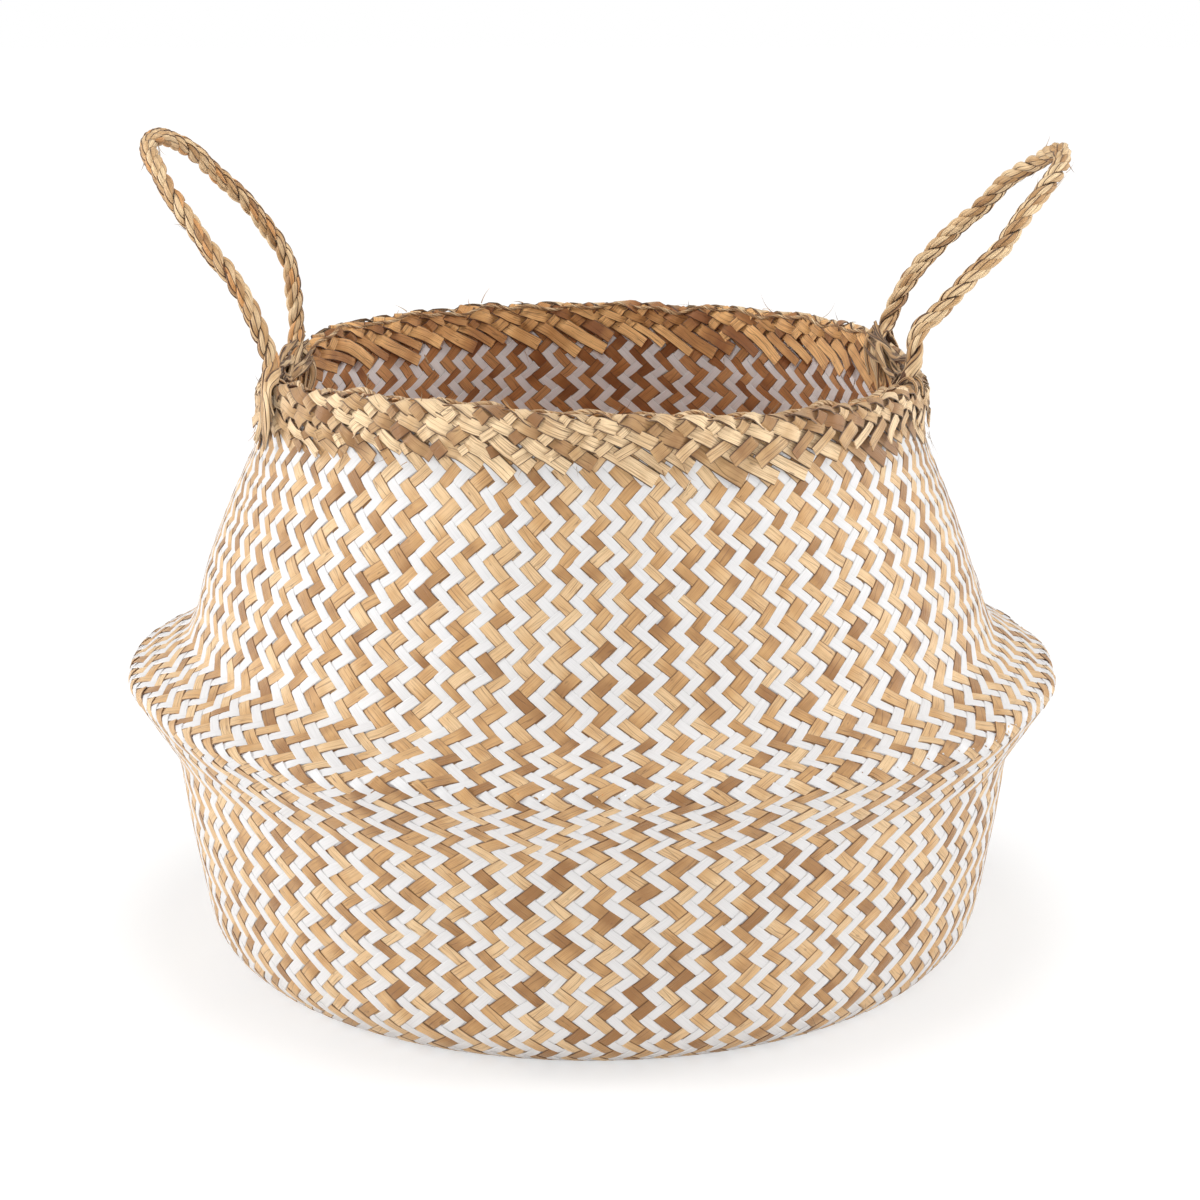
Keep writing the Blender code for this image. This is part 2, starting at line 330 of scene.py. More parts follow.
def plainStrand(name, look):
    finish = Finish(name, seagrass["sheen"])
    across, along, tone = strandWires(finish)
    streak = fibreNoise(finish, across, along, tone, seagrass["fibreScale"])
    patchPlace = finish.vector(across * 0.001, along, tone * 23.0)
    patch = finish.noise(patchPlace, seagrass["patchScale"])
    shade = tone * look["between"] + patch * look["along"] + look["shift"]
    colours = (look["dark"], look["middle"], look["pale"])
    colour = finish.ramp(shade, list(zip(seagrass["places"], colours)))
    # dark colour of seams, rims and flecks; on seams and rims it is partly painted shade
    edge = (*look["edge"], 1)
    amber = tone.between(1 - look["amber"], 1.005 - look["amber"])
    colour = finish.mixColour(amber * seagrass["amberShare"], colour, seagrass["amber"])
    lines = 1.0 - streak.between(*seagrass["lines"])
    colour = finish.mixColour(lines * look["lines"], colour, (*look["line"], 1))
    # some leaves are folded, which leaves a seam along them, dark with painted shade in the fold
    seamPlace = finish.noise(finish.vector(tone * 40.0, along * 6.0, 3.0), 6, 1.0)
    fromSeam = abs(across - (seamPlace - 0.5) * seagrass["seamWander"])
    seam = 1.0 - fromSeam.between(*seagrass["seamWidth"])
    chosen = finish.noise(finish.vector(tone * 90.0, along * 20.0, 1.0), 3, 0.0)
    seamed = seam * chosen.between(*seagrass["seamed"])
    colour = finish.mixColour(seamed * look["seams"], colour, edge)
    # dark rims: partly the leaves' own darker edges, partly painted shade in the gaps between
    # strands
    rim = abs(across).between(*seagrass["rims"])
    colour = finish.mixColour(rim * look["rims"], colour, edge)
    fleckPlace = finish.vector(across * 0.002, along * 0.2, tone * 5.0)
    fleck = finish.noise(fleckPlace, seagrass["fleckScale"], 1.0).between(*seagrass["flecks"])
    colour = finish.mixColour(fleck * seagrass["fleckShare"], colour, edge)
    colour = paintLightInside(finish, colour, look["inside"])
    normal = finish.bump(streak - seam * seagrass["seamDepth"], *seagrass["bump"])
    lowest, added = seagrass["roughness"]
    rough = lowest + streak * added
    return finish.wear({"Base Color": colour, "Roughness": rough, "Normal": normal})


paint = {
    "fibreScale": 2600,
    "shades": (0.28, 0.56),  # fibre noise of the shaded and of the full white
    "rims": (0.82, 1.0),
    "wornScale": 420,
    "worn": (0.60, 0.72),
    "wornShare": 0.45,
    "bump": (0.3, 0.0003),
    "roughness": (0.48, 0.22),
}


def paintedStrand(name, look):
    finish = Finish(name, {})
    across, along, tone = strandWires(finish)
    streak = fibreNoise(finish, across, along, tone, paint["fibreScale"])
    whiteness = streak.between(*paint["shades"])
    colour = finish.mixColour(whiteness, (*look["shade"], 1), (*look["white"], 1))
    rim = abs(across).between(*paint["rims"])
    wornPlace = finish.vector(across * 0.002, along * 0.6, tone * 17.0)
    worn = rim * finish.noise(wornPlace, paint["wornScale"]).between(*paint["worn"])
    colour = finish.mixColour(worn * paint["wornShare"], colour, (*look["bare"], 1))
    colour = paintLightInside(finish, colour, look["inside"])
    normal = finish.bump(streak, *paint["bump"])
    lowest, added = paint["roughness"]
    rough = lowest + streak * added
    return finish.wear({"Base Color": colour, "Roughness": rough, "Normal": normal})


plainFinish = plainStrand("plain_seagrass", {
    "dark": (0.28, 0.125, 0.034),
    "middle": (0.54, 0.305, 0.120),
    "pale": (0.72, 0.50, 0.275),
    "edge": (0.10, 0.038, 0.010),
    "line": (0.26, 0.12, 0.036),
    # painted shade: the unpainted strands' faces inside the basket are darker and warmer
    "inside": (1.08, 0.77, 0.55),
    "between": 0.80,  # how much the shade differs from strand to strand
    "along": 1.40,  # and along one strand
    "shift": -0.61,
    "lines": 0.50,
    "seams": 0.50,
    "rims": 0.88,
    "amber": 0.0,  # share of orange strands
})
bandFinish = plainStrand("rim_seagrass", {
    "dark": (0.25, 0.110, 0.032),
    "middle": (0.50, 0.30, 0.130),
    "pale": (0.84, 0.62, 0.370),
    "edge": (0.060, 0.020, 0.005),
    "line": (0.25, 0.115, 0.038),
    # painted shade: the band's inner side is darker and warmer
    "inside": (1.00, 0.75, 0.47),
    "between": 1.05,
    "along": 1.60,
    "shift": -0.79,
    "lines": 0.65,
    "seams": 0.50,
    "rims": 1.0,
    "amber": 0.0,
})
ropeFinish = plainStrand("twisted_seagrass", {
    "dark": (0.30, 0.140, 0.044),
    "middle": (0.57, 0.335, 0.140),
    "pale": (0.87, 0.64, 0.37),
    "edge": (0.10, 0.036, 0.009),
    "line": (0.24, 0.100, 0.027),
    # painted shade in the grooves of a rope and at the steps between its leaves
    "inside": (0.13, 0.06, 0.03),
    "between": 0.80,
    "along": 1.30,
    "shift": -0.49,
    "lines": 0.60,
    "seams": 0.50,
    "rims": 0.72,
    "amber": 0.03,
})
whiteFinish = paintedStrand("painted_seagrass", {
    "white": (0.676, 0.664, 0.661),
    "shade": (0.602, 0.587, 0.581),
    "bare": (0.55, 0.38, 0.20),
    # painted light: the painted strands' faces inside the basket are lighter
    "inside": (1.46, 1.42, 1.42),
})

print("outline of the plaiting")

wall = {
    # radius, height and rounding of each corner of the outer face, from the base outwards
    "corners": (
        (0.1310, 0.0000, 0.0),
        (0.1696, 0.0000, 0.034),
        (0.17747, 0.03383, 0.25),
        (0.18420, 0.06767, 0.25),
        (0.1892, 0.1015, 0.030),
        (0.2110, 0.1345, 0.0045),
        (0.1805, 0.1525, 0.018),
        (0.17263, 0.18306, 0.12),
        (0.16255, 0.20980, 0.12),
        (0.15215, 0.23941, 0.09),
        (0.1490, 0.2480, 0.05),
        (0.1490, 0.2712, 0.0),
    ),
    "strands": 154,  # each way round the wall
    "cellSide": 0.00495,  # between two crossings, along a strand
    # the rows lie this share of that apart, by height
    "closer": ((0.004, 0.88), (0.03, 1.0), (0.125, 1.0), (0.150, 0.97), (0.175, 0.90),
               (0.20, 0.87), (0.26, 0.85)),
    "lift": 0.00034,  # out and in again at each float
    "thickness": 0.00056,
    "clearance": 0.0001,  # between the strands and the outer face
    "whiteWidth": (0.93, 0.05),  # mean and spread, as shares of the even spacing
    "plainWidth": (1.07, 0.19),
    "plainReach": (-1.8, 2.0),  # furthest from the mean, in spreads
    "snug": (0.995, 0.03),  # share of the spacing that is filled, and what it loses in places
    "snugTurns": (0.9, 2.3, 0.31),  # of the waves by which it is lost, in radians for a row
    "wander": 0.035,  # sideways, as a share of the spacing
    "wanderTurns": (1.57, 0.83, 2.7),
    "foldFoot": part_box("belly_fold")[0].z,
    "foldTop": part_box("belly_fold")[1].z,
    "rimHeight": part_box("rim_band")[1].z,
}


def roundedOutline(corners, steps=10):
    points = [np.array(corners[0][:2])]
    for before, here, after in zip(corners, corners[1:], corners[2:]):
        corner = np.array(here[:2])
        toBefore = np.array(before[:2]) - corner
        toAfter = np.array(after[:2]) - corner
        toBefore /= np.linalg.norm(toBefore)
        toAfter /= np.linalg.norm(toAfter)
        half = math.acos(np.dot(toBefore, toAfter)) / 2
        middle = toBefore + toAfter
        centre = corner + middle / np.linalg.norm(middle) * here[2] / math.sin(half)
        start = corner + toBefore * here[2] / math.tan(half) - centre
        end = corner + toAfter * here[2] / math.tan(half) - centre
        sweep = math.pi - 2 * half
        for share in np.linspace(0, 1, steps):
            near = math.sin((1 - share) * sweep) / math.sin(sweep)
            far = math.sin(share * sweep) / math.sin(sweep)
            points.append(centre + start * near + end * far)
    points.append(np.array(corners[-1][:2]))
    return np.array(points)


def runAlong(path):
    # distance of each point from the path's start
    return np.r_[0, np.cumsum(np.linalg.norm(np.diff(path, axis=0), axis=1))]


class Profile:
    # a line of radius and height, read by the distance along it
    def __init__(self, points, inset=0.0, step=0.0004):
        length = runAlong(points)
        self.s = np.arange(0, length[-1], step)
        self.r = np.interp(self.s, length, points[:, 0])
        self.z = np.interp(self.s, length, points[:, 1])
        run = np.hypot(np.gradient(self.r), np.gradient(self.z))
        self.outR = np.gradient(self.z) / run
        self.outZ = -np.gradient(self.r) / run
        self.r = self.r - self.outR * inset
        self.z = self.z - self.outZ * inset
        self.s = np.r_[0, np.cumsum(np.hypot(np.diff(self.r), np.diff(self.z)))]

    def at(self, s):
        read = [np.interp(s, self.s, line) for line in (self.r, self.z, self.outR, self.outZ)]
        size = np.hypot(read[2], read[3])
        return read[0], read[1], read[2] / size, read[3] / size


wallInset = wall["lift"] + wall["thickness"] / 2 + wall["clearance"]
wallProfile = Profile(roundedOutline(wall["corners"]), wallInset)
spread = 2 * math.pi * wallProfile.r / wall["strands"]
climb = np.sqrt(4 * wall["cellSide"] ** 2 - spread**2)
climb *= np.interp(wallProfile.z, *zip(*wall["closer"]))
wallRows = np.r_[0, np.cumsum(np.diff(wallProfile.s) / climb[1:])]

# hand-made unevenness, which every piece of the basket shares where it meets another
uneven = {
    # height in mm of the rim's top edge above the plan, by degrees round from +X
    "rimWave": ((0, -10.5), (10, -9.5), (16, -6.0), (22, -2.0), (27, 0.5), (60, 0.0), (90, 0.3),
                (120, 0.0), (142, -1.0), (150, -3.0), (154, -6.0), (160, -9.5), (170, -10.5),
                (180, -10.5), (190, -10.5), (198, -7.5), (204, -3.5), (210, -1.5), (222, 0.5),
                (243, 3.0), (262, 0.5), (285, -1.0), (302, -4.5), (320, -4.0), (336, -4.5),
                (342, -6.5), (350, -9.5)),
    # degrees aside and weight of the readings that round the rim's wave off
    "rimBlur": ((-8, 0.6), (-4, 0.9), (0, 1.0), (4, 0.9), (8, 0.6)),
    # heights between which the rim's wave sets in, and between which it dies away again
    "waveStart": (0.200, 0.262),
    "waveEnd": (0.285, 0.330),
    # degrees round from +X, half width, heights between which it grows, mm inwards
    "dents": ((0, 45, 0.150, 0.185, 2.0), (180, 24, 0.243, 0.262, 2.2), (0, 24, 0.243, 0.262, 1.0)),
    "rippleTurns": (2, 3, 5, 7, 11, 13, 17, 23),  # waves to a turn
    "rippleClimb": (-28, 28),  # radians for a metre of height
    "bulge": 0.0011,  # of the whole wall in and out
    "bulgeFoot": 0.03,  # heights between which the bulges have their full size
    "bulgeTop": 0.275,
    "brimBulge": 0.0010,  # of the brim's edge in and out
    "brimHeight": 0.134,
    "brimReach": 0.012,
    "twist": 0.006,  # radians to the side
    "rise": 0.0007,  # up and down
    "shuffle": 0.0007,  # of single rows and columns
    "shuffleTurns": (9, 13, 17, 22, 27, 33),
    "shuffleClimb": (60, 170),
    "radius": 0.16,  # at which that step is turned into an angle
    # share by which the strands spread, its middle in degrees round from +X, its half width
    "spreads": ((0.17, 242, 15), (0.11, 310, 16), (0.10, 75, 18), (0.10, 150, 16)),
}

# size, waves to a turn, climb and phase of each
ripples = [
    (random.uniform(0.4, 1.0), k, random.uniform(*uneven["rippleClimb"]), random.uniform(0, 6.28))
    for k in uneven["rippleTurns"]
]


def ripple(angle, height, lowest=0, highest=8):
    total = 0
    for size, turns, climb, phase in ripples[lowest:highest]:
        total = total + size * np.sin(turns * angle + climb * height + phase)
    return total / (highest - lowest) ** 0.5


def rimWave(angle):
    degrees = [row[0] for row in uneven["rimWave"]]
    heights = [row[1] / 1000 for row in uneven["rimWave"]]
    wave = np.zeros_like(angle)
    weight = 0
    for turn, share in uneven["rimBlur"]:
        wave += share * np.interp(np.degrees(angle) + turn, degrees, heights, period=360)
        weight += share
    return wave / weight


def smoothShare(value, low, high):
    share = np.clip((value - low) / (high - low), 0, 1)
    return share * share * (3 - 2 * share)


def warp(angle):
    # spreads the strands here and crowds them there; also gives how much wider they lie
    degrees = np.arange(0, 361, 1.0)
    density = np.ones(361)
    for size, middle, half in uneven["spreads"]:
        away = (degrees - middle + 180) % 360 - 180
        density += size * np.exp(-((away / half) ** 2))
    total = np.r_[0, np.cumsum((density[1:] + density[:-1]) / 2)]
    scale = 360 / total[-1]
    turn = np.degrees(angle)
    whole = np.floor(turn / 360)
    part = turn - 360 * whole
    warped = np.interp(part, degrees, total * scale) + 360 * whole
    return np.radians(warped), np.interp(part, degrees, density * scale)


# size, waves to a turn, climb, and the phases of the two directions
shuffles = [
    (random.uniform(0.5, 1.0), k, random.uniform(*uneven["shuffleClimb"]) * random.choice((-1, 1)),
     random.uniform(0, 6.28), random.uniform(0, 6.28))
    for k in uneven["shuffleTurns"]
]


def settle(points):
    # moves points from the true turned form to the hand-made one
    x, y, z = points[..., 0], points[..., 1], points[..., 2]
    radius = np.hypot(x, y)
    angle = np.arctan2(y, x)
    upper = 1 - smoothShare(z, uneven["bulgeTop"], uneven["waveEnd"][1])
    body = smoothShare(z, 0.0, uneven["bulgeFoot"]) * upper
    out = uneven["bulge"] * ripple(angle, z, 0, 4) * body
    brim = np.exp(-(((z - uneven["brimHeight"]) / uneven["brimReach"]) ** 2))
    out = out + uneven["brimBulge"] * ripple(angle, z, 4, 8) * brim
    for middle, half, low, high, depth in uneven["dents"]:
        away = (np.degrees(angle) - middle + 180) % 360 - 180
        out = out - depth / 1000 * np.exp(-((away / half) ** 2)) * smoothShare(z, low, high)
    turn = uneven["twist"] * ripple(angle, z * 0.6, 0, 3) * body
    rise = rimWave(angle) * smoothShare(z, *uneven["waveStart"])
    rise = rise * (1 - smoothShare(z, *uneven["waveEnd"]))
    rise = rise + uneven["rise"] * ripple(angle, 0 * z, 4, 8) * body
    for size, turns, climb, first, second in shuffles:
        step = size * uneven["shuffle"] * body / len(shuffles) ** 0.5
        turn = turn + step / uneven["radius"] * np.sin(turns * angle + climb * z + first)
        rise = rise + step * np.sin(turns * angle + climb * z + second)
    grown = np.where(radius > 1e-6, (radius + out) / np.maximum(radius, 1e-6), 1)
    settled = np.empty_like(points)
    settled[..., 0] = grown * (x * np.cos(turn) - y * np.sin(turn))
    settled[..., 1] = grown * (x * np.sin(turn) + y * np.cos(turn))
    settled[..., 2] = z + rise
    return settled


def unit(vectors):
    return vectors / np.maximum(np.linalg.norm(vectors, axis=-1, keepdims=True), 1e-12)


# shares of the half width and half thickness
strandSection = np.array(((-1, 0), (-0.86, 1), (0.86, 1), (1, 0), (0.86, -1), (-0.86, -1)))
crispAngle = math.radians(33)  # edges sharper than this are shaded as edges


def meshFrom(name, points, faces, lay, face, finish):
    mesh = bpy.data.meshes.new(name)
    mesh.from_pydata(points.reshape(-1, 3).tolist(), [], faces)
    attribute = mesh.attributes.new("lay", "FLOAT_VECTOR", "POINT")
    attribute.data.foreach_set("vector", lay.astype(np.float32).ravel())
    attribute = mesh.attributes.new("face", "FLOAT", "POINT")
    attribute.data.foreach_set("value", face.astype(np.float32).ravel())
    mesh.polygons.foreach_set("use_smooth", [True] * len(mesh.polygons))
    mesh.materials.append(finish)
    mesh.update()
    piece = bpy.data.objects.new(name, mesh)
    scene.collection.objects.link(piece)
    return piece


def gridFaces(strands, samples, sides):
    # side faces and flat ends of tubes whose rings lie one after another
    start = np.arange(strands)[:, None, None] * samples * sides
    ring = np.arange(samples - 1)[None, :, None] * sides
    side = np.arange(sides)[None, None, :]
    after = (side + 1) % sides
    a = start + ring + side
    b = start + ring + after
    quads = np.stack([a, a + sides, b + sides, b], axis=-1).reshape(-1, 4).tolist()
    for strand in range(strands):
        first = strand * samples * sides
        last = first + (samples - 1) * sides
        for corner in range(1, sides - 2, 2):
            quads.append([first, first + corner, first + corner + 1, first + corner + 2])
            quads.append([last + corner + 2, last + corner + 1, last + corner, last])
    return quads


def ribbons(name, centre, up, halfWidth, halfThick, tone, along, finish, shown=None):
    # centre and up: strands x samples x 3, the rest: strands x samples
    way = unit(np.gradient(centre, axis=1))
    side = unit(np.cross(up, way))
    up = unit(np.cross(way, side))
    across = strandSection[:, 0]
    rise = strandSection[:, 1]
    points = (
        centre[:, :, None]
        + side[:, :, None] * (halfWidth[..., None, None] * across[:, None])
        + up[:, :, None] * (halfThick[..., None, None] * rise[:, None])
    )
    lay = np.empty(points.shape)
    lay[..., 0] = across
    lay[..., 1] = along[..., None]
    lay[..., 2] = tone[:, None, None]
    # face is -1 on a strand's inner side, where the finish paints light on painted strands and
    # shade on unpainted ones
    face = np.broadcast_to(rise if shown is None else shown[..., None], points.shape[:3])
    strands, samples = centre.shape[:2]
    faces = gridFaces(strands, samples, len(strandSection))
    piece = meshFrom(name, points, faces, lay, face, finish)
    piece.data.set_sharp_from_angle(angle=crispAngle)
    return piece


print("wall plaiting")


class Layout:
    # where the strands of one family lie round the wall, in strand numbers
    def __init__(self, widths):
        self.count = len(widths)
        self.widths = widths * self.count / widths.sum()
        self.edges = np.cumsum(self.widths) - self.widths - 0.5
        self.centres = self.edges + self.widths / 2

    def edgeBelow(self, number):
        return self.edges[number % self.count] + self.count * (number // self.count)


toneShift = 3  # metres along its noise by which a strand is moved on, times its tone
turnReach = 0.11  # rows before and after a gap, within which a strand changes its side
endMargin = 1.3  # no strand changes its side in this many crossings before its top end
longFloat = 1.15  # a float over two strands stands out more by this factor


def strandRows(own, other, numbers, leaning, over, lastRow):
    # rows at which a strand is drawn and its side (out 1, in -1): two just before and after
    # each gap between two strands that it crosses
    crossing = np.arange(1, math.floor(2 * lastRow - endMargin))
    number = numbers[:, None]
    if leaning < 0:
        gap = (own.centres[number] - other.edgeBelow(number - crossing)) / 2
    else:
        gap = (other.edgeBelow(number + crossing + 1) - own.centres[number]) / 2
    before = np.where(over[crossing % len(over)], 1, -1) * -leaning
    after = np.where(over[(crossing + 1) % len(over)], 1, -1) * -leaning
    size = np.where(before == after, longFloat, 1.0)
    rows = np.stack([gap - turnReach, gap + turnReach], -1).reshape(len(numbers), -1)
    side = np.stack([before * size, after * size], -1).reshape(1, -1)
    side = np.broadcast_to(side, rows.shape)
    first = np.zeros((len(numbers), 1))
    rows = np.concatenate([first, rows, first + lastRow], axis=1)
    side = np.concatenate([side[:, :1], side, side[:, -1:]], axis=1)
    return rows, side


def denser(values, times):
    old = np.arange(values.shape[1])
    new = np.linspace(0, old[-1], old[-1] * times + 1)
    return np.array([np.interp(new, old, line) for line in values])


def cumulative(centre, tone):
    along = np.cumsum(np.linalg.norm(np.diff(centre, axis=1), axis=2), axis=1)
    along = np.concatenate([np.zeros((len(centre), 1)), along], axis=1)
    return along + toneShift * tone[:, None]


def slowWave(rows, turns):
    # a smooth random line for each strand, about -1 to 1
    total = 0
    for turn in turns:
        total = total + np.sin(rows * turn + random.uniform(0, 6.28, (len(rows), 1)))
    return total / len(turns)


def familyWidths(whiteParity):
    count = wall["strands"]
    mean, spreadWhite = wall["whiteWidth"]
    white = mean + spreadWhite * random.uniform(-1, 1, count)
    mean, spreadPlain = wall["plainWidth"]
    plain = mean + spreadPlain * np.clip(random.normal(0, 1, count), *wall["plainReach"])
    return np.where(np.arange(count) % 2 == whiteParity, white, plain)


leftLayout = Layout(familyWidths(0))
rightLayout = Layout(familyWidths(1))
twill = np.array((True, True, False, False))


def wallStrands(name, leaning, parity, finish):
    own, other = (leftLayout, rightLayout) if leaning < 0 else (rightLayout, leftLayout)
    numbers = np.arange(parity, wall["strands"], 2)
    rows, side = strandRows(own, other, numbers, leaning, twill, wallRows[-1])
    s = np.interp(rows, wallRows, wallProfile.s)
    radius, height, outR, outZ = wallProfile.at(s)
    lift = side * wall["lift"]
    turned = own.centres[numbers][:, None] + leaning * rows
    turned = turned + wall["wander"] * slowWave(rows, wall["wanderTurns"])
    angle, wider = warp(2 * math.pi * turned / wall["strands"] - math.pi / 2)
    across = 2 * math.pi * radius / wall["strands"] * wider
    up = np.interp(s, wallProfile.s, climb)
    spacing = across * up / np.hypot(across, up)
    filled, lost = wall["snug"]
    snug = filled - lost * slowWave(rows, wall["snugTurns"]) ** 2
    halfWidth = spacing / 2 * own.widths[numbers][:, None] * snug
    radius = radius + outR * lift
    height = height + outZ * lift
    centre = np.stack([radius * np.cos(angle), radius * np.sin(angle), height], -1)
    outward = np.stack([outR * np.cos(angle), outR * np.sin(angle), outZ], -1)
    tone = random.uniform(0, 1, len(numbers))
    halfThick = np.full(halfWidth.shape, wall["thickness"] / 2)
    along = cumulative(centre, tone)
    piece = ribbons(name, settle(centre), outward, halfWidth, halfThick, tone, along, finish)
    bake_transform(piece)
    return piece


leftWhite = wallStrands("left_leaning_white", -1, 0, whiteFinish)
leftPlain = wallStrands("left_leaning_plain", -1, 1, plainFinish)
rightWhite = wallStrands("right_leaning_white", 1, 1, whiteFinish)
wallStrands("right_leaning_plain", 1, 0, plainFinish)
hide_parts("lower_wall")
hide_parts("belly_fold")
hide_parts("upper_wall")

print("base mat")

base = {
    "radius": 0.1385,
    "height": 0.0021,
    "spacing": 0.00495,
    "widths": (0.90, 1.0),  # shares of the spacing
    "wander": (0.0002, 90),  # sideways, and radians for a metre
    "steep": 1.7,  # above 1, strands change their side more sharply than a wave does
}


def baseStrands(name, white):
    spacing = base["spacing"]
    reach = int(base["radius"] / spacing)
    chosen = [
        (turned, number)
        for turned in (0, 1)
        for number in range(-reach, reach + 1)
        if ((number + turned) % 2 == 0) == white
    ]
    samples = 2 * (2 * reach + 1)
    wander, turns = base["wander"]
    centre = np.empty((len(chosen), samples, 3))
    for index, (turned, number) in enumerate(chosen):
        half = math.sqrt(base["radius"] ** 2 - (number * spacing) ** 2)
        run = np.linspace(-half, half, samples)
        wave = np.cos(math.pi * ((run / spacing + number) / 2 - 0.25))
        over = np.clip(base["steep"] * wave, -1, 1)
        aside = number * spacing + wander * np.sin(run * turns + number)
        centre[index, :, 0] = aside if turned else run
        centre[index, :, 1] = run if turned else aside
        centre[index, :, 2] = base["height"] + (over if turned else -over) * wall["lift"]
    down = np.broadcast_to((0.0, 0.0, -1.0), centre.shape)
    tone = random.uniform(0, 1, len(chosen))
    share = random.uniform(*base["widths"], len(chosen))[:, None]
    width = share * np.ones(samples) * spacing / 2
    thick = np.full(width.shape, wall["thickness"] / 2)
    finish = whiteFinish if white else plainFinish
    along = cumulative(centre, tone)
    piece = ribbons(name, centre, down, width, thick, tone, along, finish)
    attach(piece, "lower_half")
    return piece


baseStrands("base_mat_white", True)
basePlain = baseStrands("base_mat_plain", False)
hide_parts("base_mat")

print("rim band")

rim = {
    "centreRadius": 0.1475,
    "centreHeight": 0.2712,
    "offset": 0.00285,  # from the wall's middle to the middle of the band
    "outerDepth": 0.0195,  # below the top edge
    "innerDepth": 0.0165,
    "strands": 77,  # each way
    # angle from level of each family's strands on the faces and over the top edge
    "leftSlope": (32.0, 21.0),
    "rightSlope": (37.0, 44.0),
    "leftWidth": 0.0057,
    "rightWidth": 0.0055,
    "tilt": 0.12,  # of the left-leaning strands, so that each overlaps the one below
    "thickness": 0.00062,
    "lift": 0.00090,
    "layouts": ((0.72, 1.32), (0.72, 1.30)),  # spread of the left and right families' widths
    "tongue": 0.0038,  # cut ends below the last crossing
    "tongues": (0.1, 1.9),  # spread of their lengths
    "tucked": -0.5,  # factor for the family whose ends are tucked in behind the other
    "tongueRows": (130, 50),  # rows to a metre at a strand's last point and the one before
    "spare": 0.012,  # of the band's line past the band, for the cut ends
    "endReach": 0.004,  # of the part that stands off the wall
    "endLifts": (-0.0002, 0.0019),
    "overTop": (0.011, 0.002),  # below the rounded top, where the strands change their slope
    "rounding": 3,  # points drawn to each step between two rows
    # sizes and turns, in radians for a row, of the waves in place, width and lift
    "wander": 0.09,  # sideways, as a share of the spacing
    "wanderTurns": (1.3, 0.5),
    "unevenWidth": 0.10,
    "widthTurns": (1.9, 0.7),
    "unevenLift": 0.00035,
    "liftTurns": (2.1, 1.1),
}


def bandProfile():
    radius = rim["centreRadius"]
    height = rim["centreHeight"]
    top = wall["rimHeight"]
    outer = (radius + rim["offset"], top - rim["outerDepth"] - rim["spare"])
    inner = (radius - rim["offset"], top - rim["innerDepth"] - rim["spare"])
    arc = [
        (radius + rim["offset"] * math.cos(a), height + rim["offset"] * math.sin(a))
        for a in np.linspace(0, math.pi, 24)
    ]
    return Profile(np.array([outer, *arc, inner]))


def bandRuns(profile, slopes):
    # strand numbers passed per metre along the profile, summed up from the band's foot
    spacing = 2 * math.pi * rim["centreRadius"] / rim["strands"]
    start, end = (rim["centreHeight"] - below for below in rim["overTop"])
    overTop = smoothShare(profile.z, start, end)
    slope = np.radians(slopes[0] + (slopes[1] - slopes[0]) * overTop)
    run = 1 / (spacing * np.tan(slope))
    total = np.r_[0, np.cumsum(run[1:] * np.diff(profile.s))]
    return total - np.interp(rim["spare"], profile.s, total)


def bandStrands(name, leaning):
    profile = bandProfile()
    count = rim["strands"]
    leftRun = bandRuns(profile, rim["leftSlope"])
    rightRun = bandRuns(profile, rim["rightSlope"])
    rowsAt = (leftRun + rightRun) / 2
    lastRow = np.interp(profile.s[-1] - rim["spare"], profile.s, rowsAt)
    own, other = bandLayouts if leaning < 0 else bandLayouts[::-1]
    over = np.array((True, False))
    rows, side = strandRows(own, other, np.arange(count), leaning, over, lastRow)
    rows = denser(rows, rim["rounding"])
    side = denser(side, rim["rounding"])
    tongue = rim["tongue"] * random.uniform(*rim["tongues"], (2, count))
    if leaning > 0:
        tongue *= rim["tucked"]
    for place, perMetre in enumerate(rim["tongueRows"]):
        rows[:, place] -= tongue[0] * perMetre
        rows[:, -1 - place] += tongue[1] * perMetre
    s = np.interp(rows, rowsAt, profile.s)
    run = leftRun if leaning < 0 else rightRun
    wave = slowWave(rows, rim["wanderTurns"])
    turned = own.centres[:, None] + leaning * np.interp(s, profile.s, run) + rim["wander"] * wave
    angle = 2 * math.pi * turned / count - math.pi / 2
    lift = side * rim["lift"]
    # the cut ends stand off the wall a little
    toEnd = np.minimum(s - s[:, :1], s[:, -1:] - s)
    ends = np.clip(1 - toEnd / rim["endReach"], 0, 1)
    lift = lift + ends**2 * random.uniform(*rim["endLifts"], (count, 1))
    lift = lift + rim["unevenLift"] * slowWave(rows, rim["liftTurns"])
    radius, height, outR, outZ = profile.at(s)
    radius = radius + outR * lift
    height = height + outZ * lift
    centre = np.stack([radius * np.cos(angle), radius * np.sin(angle), height], -1)
    outward = np.stack([outR * np.cos(angle), outR * np.sin(angle), outZ], -1)
    if leaning < 0:
        outward[..., 2] += rim["tilt"]
    tone = random.uniform(0, 1, count)
    width = rim["leftWidth"] if leaning < 0 else rim["rightWidth"]
    swell = 1 + rim["unevenWidth"] * slowWave(rows, rim["widthTurns"])
    halfWidth = own.widths[:, None] * swell * width / 2
    halfThick = np.full(halfWidth.shape, rim["thickness"] / 2)
    along = cumulative(centre, tone)
    # -1 on the band's inner side, which gets painted shade
    shown = np.clip(outR * 4, -1, 1)
    piece = ribbons(
        name, settle(centre), outward, halfWidth, halfThick, tone, along, bandFinish, shown
    )
    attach(piece, "upper_half")
    return piece


bandLayouts = [Layout(random.uniform(*spread, rim["strands"])) for spread in rim["layouts"]]
bandLeft = bandStrands("rim_band_left_leaning", -1)
bandStrands("rim_band_right_leaning", 1)
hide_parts("rim_band")

print("ropes and cords")


